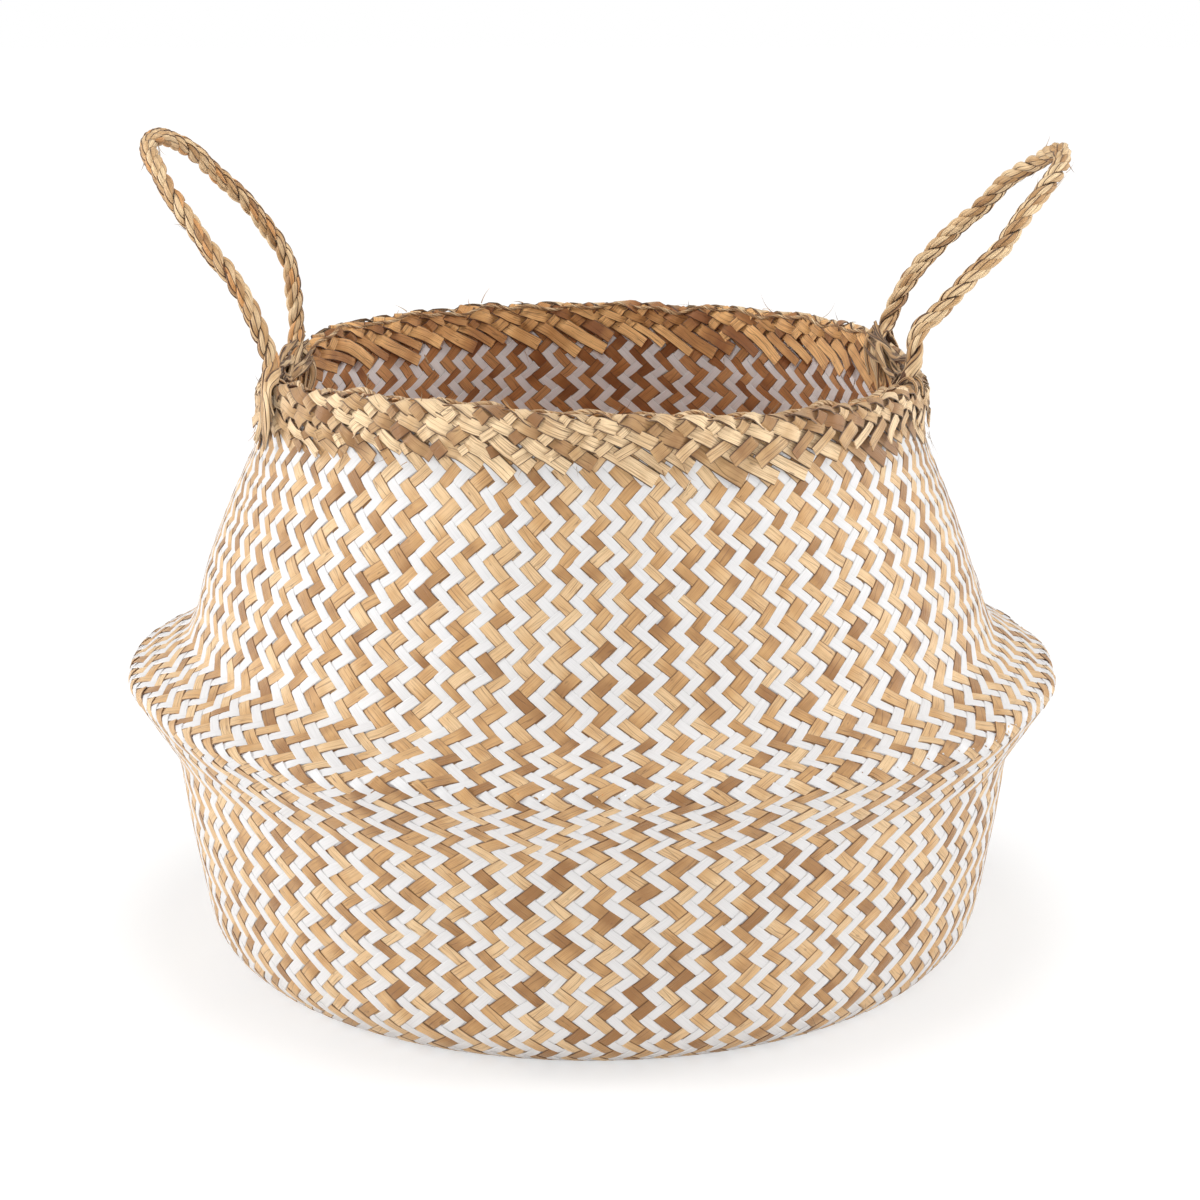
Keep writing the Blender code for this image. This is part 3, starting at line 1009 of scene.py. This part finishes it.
def smoothPath(points, step):
    # an even, rounded line through given points
    points = np.array(points, float)
    padded = np.vstack([2 * points[0] - points[1], points, 2 * points[-1] - points[-2]])
    dense = []
    for before, start, end, after in zip(padded, padded[1:], padded[2:], padded[3:]):
        for t in np.linspace(0, 1, 16, endpoint=False):
            dense.append(
                start
                + (end - before) * t / 2
                + (2 * before - 5 * start + 4 * end - after) * t**2 / 2
                + (3 * start - before - 3 * end + after) * t**3 / 2
            )
    dense.append(points[-1])
    dense = np.array(dense)
    length = runAlong(dense)
    even = np.linspace(0, length[-1], max(4, int(length[-1] / step)))
    return np.stack([np.interp(even, length, dense[:, axis]) for axis in range(3)], -1)


def soften(path, passes):
    for _ in range(passes):
        path = path.copy()
        path[1:-1] = path[1:-1] / 2 + (path[:-2] + path[2:]) / 4
    return path


def carriedFrames(path):
    # two directions square to the path, carried along it without twisting
    way = unit(np.gradient(path, axis=0))
    first = np.empty_like(path)
    here = np.cross(way[0], (0.3, 0.2, 0.9))
    for index, direction in enumerate(way):
        here = here - direction * np.dot(here, direction)
        here = here / np.linalg.norm(here)
        first[index] = here
    return first, np.cross(way, first)


# section of a tube of overlapping leaves: share of the leaf's width, size, place across the
# leaf, and face, which is -1 at the step down to the next leaf, where the finish paints shade
leafMarks = np.array((
    (0.00, 1.06, -1.0, -1.0),
    (0.10, 1.12, -0.8, 1.0),
    (0.50, 1.05, 0.0, 1.0),
    (0.84, 0.96, 0.8, 1.0),
    (0.94, 0.88, 1.0, -1.0),
))


leafy = {
    "slowing": (0.022, 0.038),  # distances from an end between which the twist changes
    "uneven": (0.06, 310, 2.4),  # share of the size, radians for a metre and from leaf to leaf
    "shaded": (-0.40, 0.50),  # how far a point faces out of its rope where it is dark and bright
}


def leafTubes(name, tubes, leaves, finish, twist=0.0, endTwist=None, paintedShade=0.0):
    # each tube is (path, outward, half height, half width); twist is that of its leaves in
    # radians for a metre, which slows down to endTwist at both ends; the last argument adds painted
    # shade, which darkens all of them
    points, lay, faces, face = [], [], [], []
    sides = leaves * len(leafMarks)
    leaf = np.repeat(np.arange(leaves), len(leafMarks))
    turn = (leaf + np.tile(leafMarks[:, 0], leaves)) / leaves
    size, across, shown = np.tile(leafMarks[:, 1:].T, (1, leaves))
    unevenSize, unevenTurns, unevenShift = leafy["uneven"]
    count = 0
    for path, outward, high, wide in tubes:
        way = unit(np.gradient(path, axis=0))
        outward = unit(outward - way * np.sum(outward * way, axis=1, keepdims=True))
        aside = np.cross(way, outward)
        length = runAlong(path)
        rate = np.full(len(path), twist)
        if endTwist is not None:
            edge = np.minimum(length, length[-1] - length)
            rate = endTwist + (twist - endTwist) * smoothShare(edge, *leafy["slowing"])
        turned = np.cumsum(rate) * length[-1] / len(path)
        angle = 2 * math.pi * turn[None] + turned[:, None]
        phase = length[:, None] * unevenTurns + leaf * unevenShift + count
        wave = 1 + unevenSize * np.sin(phase)
        ring = (
            path[:, None]
            + outward[:, None] * (np.cos(angle) * size * wave * high[:, None])[..., None]
            + aside[:, None] * (-np.sin(angle) * size * wave * wide[:, None])[..., None]
        )
        tone = random.uniform(0, 1, leaves)[leaf]
        own = np.empty(ring.shape)
        own[..., 0] = across
        own[..., 1] = length[:, None] + toneShift * tone
        own[..., 2] = tone
        points.append(ring.reshape(-1, 3))
        lay.append(own.reshape(-1, 3))
        # painted shade where a point faces into its rope, darker still by the last argument
        bright = 2 * smoothShare(np.cos(angle), *leafy["shaded"]) - 1 - paintedShade
        face.append(np.minimum(shown, bright).ravel())
        samples = len(path)
        start = np.arange(samples - 1)[:, None] * sides + count
        side = np.arange(sides)[None]
        after = (side + 1) % sides
        quads = np.stack(
            [start + side, start + side + sides, start + after + sides, start + after], -1
        )
        faces += quads.reshape(-1, 4).tolist()
        for end, order in ((0, 1), (samples - 1, -1)):
            faces.append([count + end * sides + k for k in range(sides)][::order])
        count += samples * sides
    return meshFrom(
        name, np.vstack(points), faces, np.vstack(lay), np.concatenate(face), finish
    )


def rimPlace(angle, offset, height):
    # a point by its degrees round from +X, its distance outside the wall's middle and its
    # height in mm above the rim's top edge
    radius = rim["centreRadius"] + offset / 1000
    turn = math.radians(angle)
    top = wall["rimHeight"]
    return np.array((radius * math.cos(turn), radius * math.sin(turn), top + height / 1000))


def rimLine(keys, step):
    return settle(smoothPath([rimPlace(*key) for key in keys], step))


handles = {
    "left": {
        "body": "left_handle",
        "joint": "left_handle_swing",
        "node": "left_handle_rope",
        "side": -1,
        "halfSpan": 0.055254,
        "reach": 0.0557,
        "rise": 0.0905,
        "front": 202.0,  # degrees round from +X of the two roots
        "back": 158.0,
        # the loop's line along the hinge, out and up, as shares of halfSpan, reach and rise
        "loop": (
            (-1.00, 0.00, 0.00), (-1.01, 0.12, 0.22), (-0.97, 0.26, 0.38), (-0.88, 0.47, 0.54),
            (-0.73, 0.71, 0.73), (-0.51, 0.89, 0.88), (-0.21, 1.00, 0.97), (0.11, 0.95, 1.00),
            (0.43, 0.78, 0.93), (0.68, 0.61, 0.80), (0.88, 0.36, 0.62), (1.01, 0.09, 0.36),
            (1.01, 0.02, 0.17), (1.00, 0.00, 0.00),
        ),
        # where the twist ends under each root, and the three plies' ends from the tip up:
        # degrees, mm outside the wall's middle, mm above the rim's edge
        "frontFoot": (205.0, 3.6, 1.2),
        "backFoot": (161.0, -2.4, 1.6),
        "frontTails": (
            ((206.0, 6.4, -27), (207.6, 7.4, -19), (208.4, 7.8, -11), (207.6, 7.2, -4)),
            ((205.2, 6.6, -22), (206.4, 7.6, -15), (207.0, 7.8, -9), (206.4, 7.0, -3)),
            ((209.6, 6.0, -13), (208.8, 6.8, -8), (207.4, 6.4, -2)),
        ),
        "backTails": (
            ((168.5, -5.4, -11), (166.6, -6.0, -6), (164.2, -5.0, -2)),
            ((160.4, -6.4, -21), (157.6, -7.2, -15), (157.2, -7.0, -8), (158.8, -5.4, -2)),
            ((171.0, -5.0, -9), (168.5, -5.8, -5), (165.4, -5.2, -1.5)),
        ),
    },
    "right": {
        "body": "right_handle",
        "joint": "right_handle_swing",
        "node": "right_handle_rope",
        "side": 1,
        "halfSpan": 0.054059,
        "reach": 0.0690,
        "rise": 0.0844,
        "front": 339.5,
        "back": 22.5,
        "loop": (
            (-1.00, 0.00, 0.00), (-0.97, 0.02, 0.15), (-0.95, 0.14, 0.25), (-0.91, 0.34, 0.42),
            (-0.81, 0.54, 0.57), (-0.68, 0.68, 0.71), (-0.51, 0.83, 0.84), (-0.27, 0.96, 0.94),
            (0.06, 1.00, 1.00), (0.42, 0.91, 0.92), (0.67, 0.76, 0.82), (0.86, 0.61, 0.66),
            (0.99, 0.41, 0.49), (1.01, 0.20, 0.30), (1.01, 0.08, 0.14), (1.00, 0.00, 0.00),
        ),
        "frontFoot": (339.6, 0.4, 5.5),
        "backFoot": (22.2, -0.8, 2.5),
        "frontTails": (
            ((341.0, -5.2, -8), (340.8, -5.4, -3), (340.4, -3.8, 1)),
            ((337.4, -6.0, -11), (337.8, -6.0, -5), (338.8, -4.0, 1)),
            ((344.5, -5.6, -12), (343.4, -6.4, -5), (342.0, -4.8, 0.5)),
        ),
        "backTails": (
            ((21.0, 5.8, -13), (21.4, 6.2, -7), (21.8, 4.2, -1)),
            ((18.6, -6.2, -16), (19.2, -7.0, -10), (20.2, -6.8, -5), (21.4, -4.2, 0)),
            ((12.0, -6.4, -9), (15.2, -7.6, -4), (18.4, -6.2, -1)),
        ),
    },
}

rope = {
    "pitch": 0.0225,
    "unevenPitch": (0.35, 95),  # radians, and radians for a metre
    "plyOffset": 0.0023,  # of a ply's middle from the rope's
    "plyHigh": 0.00180,  # half size out from the rope
    "plyWide": 0.00205,  # half size round the rope
    "step": 0.0009,
    "overlap": 3,  # points left out where the rope passes into its tails
    "pathPasses": 7,  # of smoothing across that place
    "outPasses": 10,
    "tip": (0.30, 0.014),  # share of a tail's size at its tip, and length of the point
    "flat": (0.006, 0.032),  # distances from a tip between which a flat tail becomes a round ply
    "flatHigh": 0.50,
    "flatWide": 1.60,
    "wobbles": ((0.09, 190), (0.05, 640)),  # share of a ply's size, and radians for a metre
    "leaves": 5,
    "twist": 410.0,  # of the leaves in a ply against the lay, radians for a metre
    "endTwist": 40.0,
    # below the hinge, and out and up from it; the tube is not made to follow the swing
    "blendFoot": 0.004,
    "blendOut": 0.004,
    "blendTop": 0.010,
}


def plySizes(path, ply):
    # half sizes along a ply, which is flat and narrow at its ends
    run = runAlong(path)
    edge = np.minimum(run, run[-1] - run)
    tip = rope["tip"][0] + (1 - rope["tip"][0]) * smoothShare(edge, 0, rope["tip"][1])
    flat = smoothShare(edge, *rope["flat"])
    (slow, slowTurns), (quick, quickTurns) = rope["wobbles"]
    wobble = 1 + slow * np.sin(run * slowTurns + 2 * ply) + quick * np.sin(run * quickTurns + ply)
    high = rope["plyHigh"] * tip * (rope["flatHigh"] + (1 - rope["flatHigh"]) * flat) * wobble
    wide = rope["plyWide"] * tip * (rope["flatWide"] + (1 - rope["flatWide"]) * flat) * wobble
    return high, wide


def makeHandle(name):
    plan = handles[name]
    joint = next(row for row in frame["joints"] if row["name"] == plan["joint"])
    middle = np.array(joint["pos_m"])
    along = unit(np.array(joint["axis"]))
    out = plan["side"] * np.cross(along, (0, 0, 1))
    rising = np.array((0, 0, plan["rise"]))
    keys = [
        middle + out * plan["reach"] * o + along * plan["halfSpan"] * a + rising * u
        for a, o, u in plan["loop"]
    ]
    frontFoot, backFoot = (settle(rimPlace(*plan[end])) for end in ("frontFoot", "backFoot"))
    path = smoothPath([frontFoot, *keys, backFoot], rope["step"])
    first, second = carriedFrames(path)
    length = runAlong(path)
    kept = slice(rope["overlap"], -rope["overlap"])
    unevenPitch, unevenTurns = rope["unevenPitch"]
    tubes = []
    for ply in range(3):
        angle = 2 * math.pi * (length / rope["pitch"] + ply / 3)
        angle = angle + unevenPitch * np.sin(length * unevenTurns + ply * 2)
        outward = np.cos(angle)[:, None] * first + np.sin(angle)[:, None] * second
        line = path + outward * rope["plyOffset"]
        start = rimLine(plan["frontTails"][ply], rope["step"])
        end = rimLine(plan["backTails"][ply], rope["step"])[::-1]
        whole = soften(np.vstack([start, line[kept], end]), rope["pathPasses"])
        outer = np.vstack([outFrom(start), outward[kept], outFrom(end)])
        outer = unit(soften(outer, rope["outPasses"]))
        high, wide = plySizes(whole, ply)
        tubes.append((whole, outer, high, wide))
    piece = leafTubes(
        name + "_handle_plies", tubes, rope["leaves"], ropeFinish, rope["twist"], rope["endTwist"]
    )
    high = middle + out * rope["blendOut"] + np.array((0, 0, rope["blendTop"]))
    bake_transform(piece)
    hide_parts(plan["node"])
    return path


def outFrom(path):
    # level direction away from the wall's middle, for points on either face of the rim
    radius = np.hypot(path[:, 0], path[:, 1])
    sign = np.where(radius > rim["centreRadius"], 1.0, -1.0)
    return unit(np.stack([path[:, 0], path[:, 1], 0 * radius], -1)) * sign[:, None]


leftPath = makeHandle("left")
rightPath = makeHandle("right")

print("anchors")

# leaves that straddle the rim beside each rope's root, with points as in the ropes' tails
anchors = {
    "left_front_anchor": (
        ((205.2, -6.2, -14), (204.8, -5.8, -6), (204.4, -3.2, 1.2), (203.8, 1.5, 2.8),
         (203.2, 4.4, -1.0), (202.8, 5.0, -9), (202.0, 5.4, -17), (200.6, 6.4, -25)),
        ((202.4, -6.0, -10), (202.2, -4.8, -2), (202.0, 0.0, 1.6),
         (201.8, 3.8, -2.0), (201.6, 4.6, -9), (200.4, 5.2, -17), (198.4, 6.0, -24)),
    ),
    "left_back_anchor": (
        ((161.6, 6.8, -19), (161.2, 6.6, -8), (160.8, 3.8, 2.0), (160.8, 0.0, 4.4),
         (161.8, -4.6, 1.0), (163.2, -6.4, -6), (164.4, -6.6, -15)),
        ((157.4, 6.4, -12), (157.6, 5.0, -1), (157.8, 0.0, 3.6),
         (158.6, -5.0, -1), (159.6, -6.6, -8), (161.0, -7.0, -15)),
    ),
    "right_front_anchor": (
        ((337.6, -6.2, -13), (337.8, -5.4, -3), (338.0, 0.0, 3.2),
         (337.6, 4.2, 0.2), (337.2, 4.6, -4)),
        ((342.2, -6.6, -16), (342.0, -5.8, -5), (341.6, -1.0, 3.8),
         (341.4, 4.0, 0.6), (341.6, 4.8, -5)),
    ),
    "right_back_anchor": (
        ((24.6, 6.4, -13), (24.4, 5.2, -2), (24.2, 0.0, 4.0),
         (23.8, -5.4, -1.0), (23.0, -6.8, -9), (21.4, -7.0, -16)),
        ((20.4, 6.6, -15), (20.2, 5.6, -3), (20.4, 0.0, 4.4),
         (19.4, -5.0, 1.0), (17.8, -7.2, -8), (16.6, -7.6, -19)),
    ),
}
anchorLeaf = {
    "high": 0.0008,  # half sizes
    "wide": 0.0017,
    "widths": (0.8, 1.2),  # spread
    "tip": 0.35,  # share of its size that a leaf's tip keeps
    "rounded": (0.02, 0.98),  # shares of its length between which its width changes
    "upwards": 1.4,  # how much the leaves face upwards over the rim's edge
    "edgeHeights": (0.262, 0.272),  # heights between which that sets in
    "step": 0.0012,
    "leaves": 3,
    "twist": 60.0,
    # painted shade that darkens all the anchor leaves
    "paintedShade": 0.35,
}


def makeAnchor(name):
    tubes = []
    for keys in anchors[name]:
        path = rimLine(keys, anchorLeaf["step"])
        share = np.linspace(0, 1, len(path))
        full = np.sqrt(np.sin(math.pi * np.clip(share, *anchorLeaf["rounded"])))
        tip = anchorLeaf["tip"] + (1 - anchorLeaf["tip"]) * full
        atEdge = smoothShare(path[:, 2], *anchorLeaf["edgeHeights"])[:, None]
        outward = outFrom(path) + anchorLeaf["upwards"] * (np.array((0, 0, 1.0)) * atEdge)
        high = anchorLeaf["high"] * tip
        wide = anchorLeaf["wide"] * tip * random.uniform(*anchorLeaf["widths"])
        tubes.append((path, outward, high, wide))
    look = (anchorLeaf["leaves"], ropeFinish, anchorLeaf["twist"], None, anchorLeaf["paintedShade"])
    piece = leafTubes(name + "_leaves", tubes, *look)
    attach(piece, "upper_half")
    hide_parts(name)


for name in anchors:
    makeAnchor(name)

print("inner ties")

# the loose leaves inside the rim between a handle's roots
tie = {
    "leaves": 9,
    "high": (0.0004, 0.0009),
    "wide": (0.0008, 0.0019),
    "lowest": -12.0,  # mm above the rim's edge, of the lowest and of the highest leaf
    "highest": 3.0,
    "offset": -6.8,  # mm outside the wall's middle, of the lowest leaf
    "spread": 4.2,  # mm that the highest leaf lies further out
    "sway": 1.3,  # mm outwards and inwards
    "heave": 2.4,  # mm up and down
    "turns": (6, 5),  # of both in radians along a leaf, the second times a chance number
    "turnSpread": (0.8, 1.2),
    # towards a root: shares of the spread and of the level that are lost, mm in and mm up
    "rootSpread": 0.3,
    "rootLevel": 0.35,
    "rootIn": 0.6,
    "rootRise": 4.5,
    "upwards": 0.9,  # how much the highest leaf faces upwards
    "tip": 0.4,
    "tipSlope": 4,
    "swell": (0.35, 17, 7),  # share of the width, and two waves in radians along a leaf
    "pathPasses": 3,
    "keys": 12,
    "step": 0.0012,
    "twist": 90.0,
    # painted shade that darkens the loose leaves inside the rim
    "paintedShade": 1.45,
}


def makeTie(name, start, end):
    tubes = []
    turns, chanceTurns = tie["turns"]
    swellSize, quick, slow = tie["swell"]
    for index in range(tie["leaves"]):
        share = index / (tie["leaves"] - 1)
        level = tie["lowest"] + (tie["highest"] - tie["lowest"]) * share
        phase = random.uniform(0, 6.28, 4)
        keys = []
        for part in np.linspace(0, 1, tie["keys"]):
            turn = phase[0] + part * (turns + chanceTurns * random.uniform(*tie["turnSpread"]))
            near = abs(part - 0.5) * 2
            offset = tie["offset"] + tie["sway"] * math.cos(turn)
            offset = offset + tie["spread"] * share * (1 - tie["rootSpread"] * near)
            offset = offset - tie["rootIn"] * near
            height = level * (1 - tie["rootLevel"] * near) + tie["heave"] * math.sin(turn)
            height = height + tie["rootRise"] * near**3
            keys.append((start + (end - start) * part, offset, height))
        path = soften(rimLine(keys, tie["step"]), tie["pathPasses"])
        outward = outFrom(path)
        outward[:, 2] += tie["upwards"] * share
        run = np.linspace(0, 1, len(path))
        full = np.clip(np.sin(math.pi * run) * tie["tipSlope"], 0, 1)
        tip = tie["tip"] + (1 - tie["tip"]) * full
        swell = 1 + swellSize * np.sin(run * quick + phase[1]) * np.sin(run * slow + phase[2])
        high = random.uniform(*tie["high"]) * tip
        wide = random.uniform(*tie["wide"]) * tip * swell
        tubes.append((path, outward, high * np.ones(len(path)), wide))
    piece = leafTubes(name + "_leaves", tubes, 2, ropeFinish, tie["twist"], None, tie["paintedShade"])
    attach(piece, "upper_half")
    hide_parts(name)


makeTie("left_inner_tie", handles["left"]["front"], handles["left"]["back"])
makeTie("right_inner_tie", handles["right"]["front"] - 360, handles["right"]["back"])

print("closing cords")

closing = {
    "pitch": 0.011,
    "unevenPitch": 60,  # radians for a metre
    # mm and radians for a degree of two waves out of and above the cord's line
    "sway": ((0.6, 0.54), (0.5, 1.0)),
    "lift": ((0.8, 0.75), (0.8, 0.31)),
    # a third of the cord's thickness, and mm outside the wall's middle and above the rim's edge
    "front_closing_cord": (0.00080, -3.6, -0.9),
    "back_closing_cord": (0.0005, -4.2, -1.6),
    # each as a share of the first of those sizes
    "plyOffset": 0.85,
    "plyHigh": 0.70,
    "plyWide": 1.30,
    "swell": (0.40, 130, 37),  # share, and two waves in radians for a metre
    "endGap": 1.5,  # degrees, to the ropes' roots
    "keyStep": 0.4,  # degrees
    "step": 0.0010,
}


def twoWaves(waves, angles, phase=0):
    (size, turn), (otherSize, otherTurn) = waves
    return size * np.sin(angles * turn) + otherSize * np.sin(angles * otherTurn + phase)


def makeClosingCord(name, start, end):
    radius, offset, height = closing[name]
    angles = np.arange(start + closing["endGap"], end - closing["endGap"], closing["keyStep"])
    sway = twoWaves(closing["sway"], angles, 1)
    lift = twoWaves(closing["lift"], angles)
    keys = [(a, offset + s, height + h) for a, s, h in zip(angles, sway, lift)]
    path = rimLine(keys, closing["step"])
    first, second = carriedFrames(path)
    length = runAlong(path)
    unevenTurns = closing["unevenPitch"]
    swellSize, quick, slow = closing["swell"]
    tubes = []
    for ply in (0, 1):
        turn = 2 * math.pi * (length / closing["pitch"] + ply / 2) + np.sin(length * unevenTurns)
        outward = np.cos(turn)[:, None] * first + np.sin(turn)[:, None] * second
        line = path + outward * radius * closing["plyOffset"]
        swell = 1 + swellSize * np.sin(length * quick + ply) * np.sin(length * slow)
        high = radius * closing["plyHigh"] * swell
        wide = radius * closing["plyWide"] * swell
        tubes.append((line, outward, high, wide))
    piece = leafTubes(name + "_strands", tubes, 2, bandFinish)
    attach(piece, "upper_half")
    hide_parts(name)


makeClosingCord("front_closing_cord", handles["left"]["front"], handles["right"]["front"])
makeClosingCord("back_closing_cord", handles["right"]["back"], handles["left"]["back"])

print("frayed ends")

frays = {
    "atBand": 90,
    "atRope": 16,
    "length": (0.003, 0.011),
    "seenLength": 0.01,  # as the fibres see it
    "points": 9,  # along each
    "halfWidth": (0.00012, 0.00032),
    "tip": 0.05,  # share of its width that a tip keeps
    "thickness": 0.5,  # as a share of the width
    "curl": 0.45,  # sideways, as a share of the length
    "insideShare": 0.3,  # of the rim's frays
    "topShare": 0.35,
    "bandOffset": 4.2,  # mm from the wall's middle
    "topOffset": 0.5,  # share of that at the top edge
    "bandHeights": (-26, -20),  # mm above the rim's edge, of those at the cut ends
    # ways in which they point, out of the band and up it at the top edge and at the cut ends
    "bandOut": (0.15, 0.6),
    "topUp": (0, 0.8),
    "footUp": (-1.4, -0.4),
    "ropeOffset": 0.0034,
    "ropeOut": 0.4,
}


def makeFrays(name, roots, ways, body, slot):
    count = len(roots)
    share = np.linspace(0, 1, frays["points"])[None, :, None]
    length = random.uniform(*frays["length"], count)[:, None, None]
    sideways = unit(random.normal(0, 1, (count, 3)))[:, None]
    ways = unit(ways)[:, None]
    curl = frays["curl"] * sideways * share**2
    centre = roots[:, None] + length * (ways * share + curl)
    up = unit(np.cross(ways, sideways)) * np.ones_like(centre)
    narrowing = 1 + frays["tip"] - share[..., 0]
    thin = random.uniform(*frays["halfWidth"], count)[:, None] * narrowing
    thick = thin * frays["thickness"]
    tone = random.uniform(0, 1, count)
    along = share[..., 0] * frays["seenLength"] + toneShift * tone[:, None]
    piece = ribbons(name, centre, up, thin, thick, tone, along, bandFinish)
    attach(piece, body)


def bandFrays():
    count = frays["atBand"]
    inside = random.uniform(0, 1, count) < frays["insideShare"]
    atTop = random.uniform(0, 1, count) < frays["topShare"]
    angle = random.uniform(0, 360, count)
    nearer = np.where(atTop, frays["topOffset"], 1)
    offset = frays["bandOffset"] * np.where(inside, -1, 1) * nearer
    height = np.where(atTop, 0.0, random.uniform(*frays["bandHeights"], count))
    roots = settle(np.array([rimPlace(*row) for row in zip(angle, offset, height)]))
    outward = outFrom(roots)
    slip = np.cross(outward, (0, 0, 1.0)) * random.uniform(-1, 1, (count, 1))
    topUp = random.uniform(*frays["topUp"], count)
    climbing = np.where(atTop, topUp, random.uniform(*frays["footUp"], count))
    ways = outward * random.uniform(*frays["bandOut"], (count, 1)) + slip
    ways[:, 2] += climbing
    return roots, ways


makeFrays("rim_band_frays", *bandFrays(), "upper_half", "rim")
for name, path in (("left", leftPath), ("right", rightPath)):
    chosen = random.integers(len(path) // 6, len(path) * 5 // 6, frays["atRope"])
    way = unit(np.gradient(path, axis=0))[chosen] * random.choice((-1, 1), (len(chosen), 1))
    off = unit(np.cross(way, random.normal(0, 1, way.shape)))
    roots = path[chosen] + off * frays["ropeOffset"]
    ways = way + off * frays["ropeOut"]
    makeFrays(name + "_handle_frays", roots, ways, handles[name]["body"], "rope")

print("done")
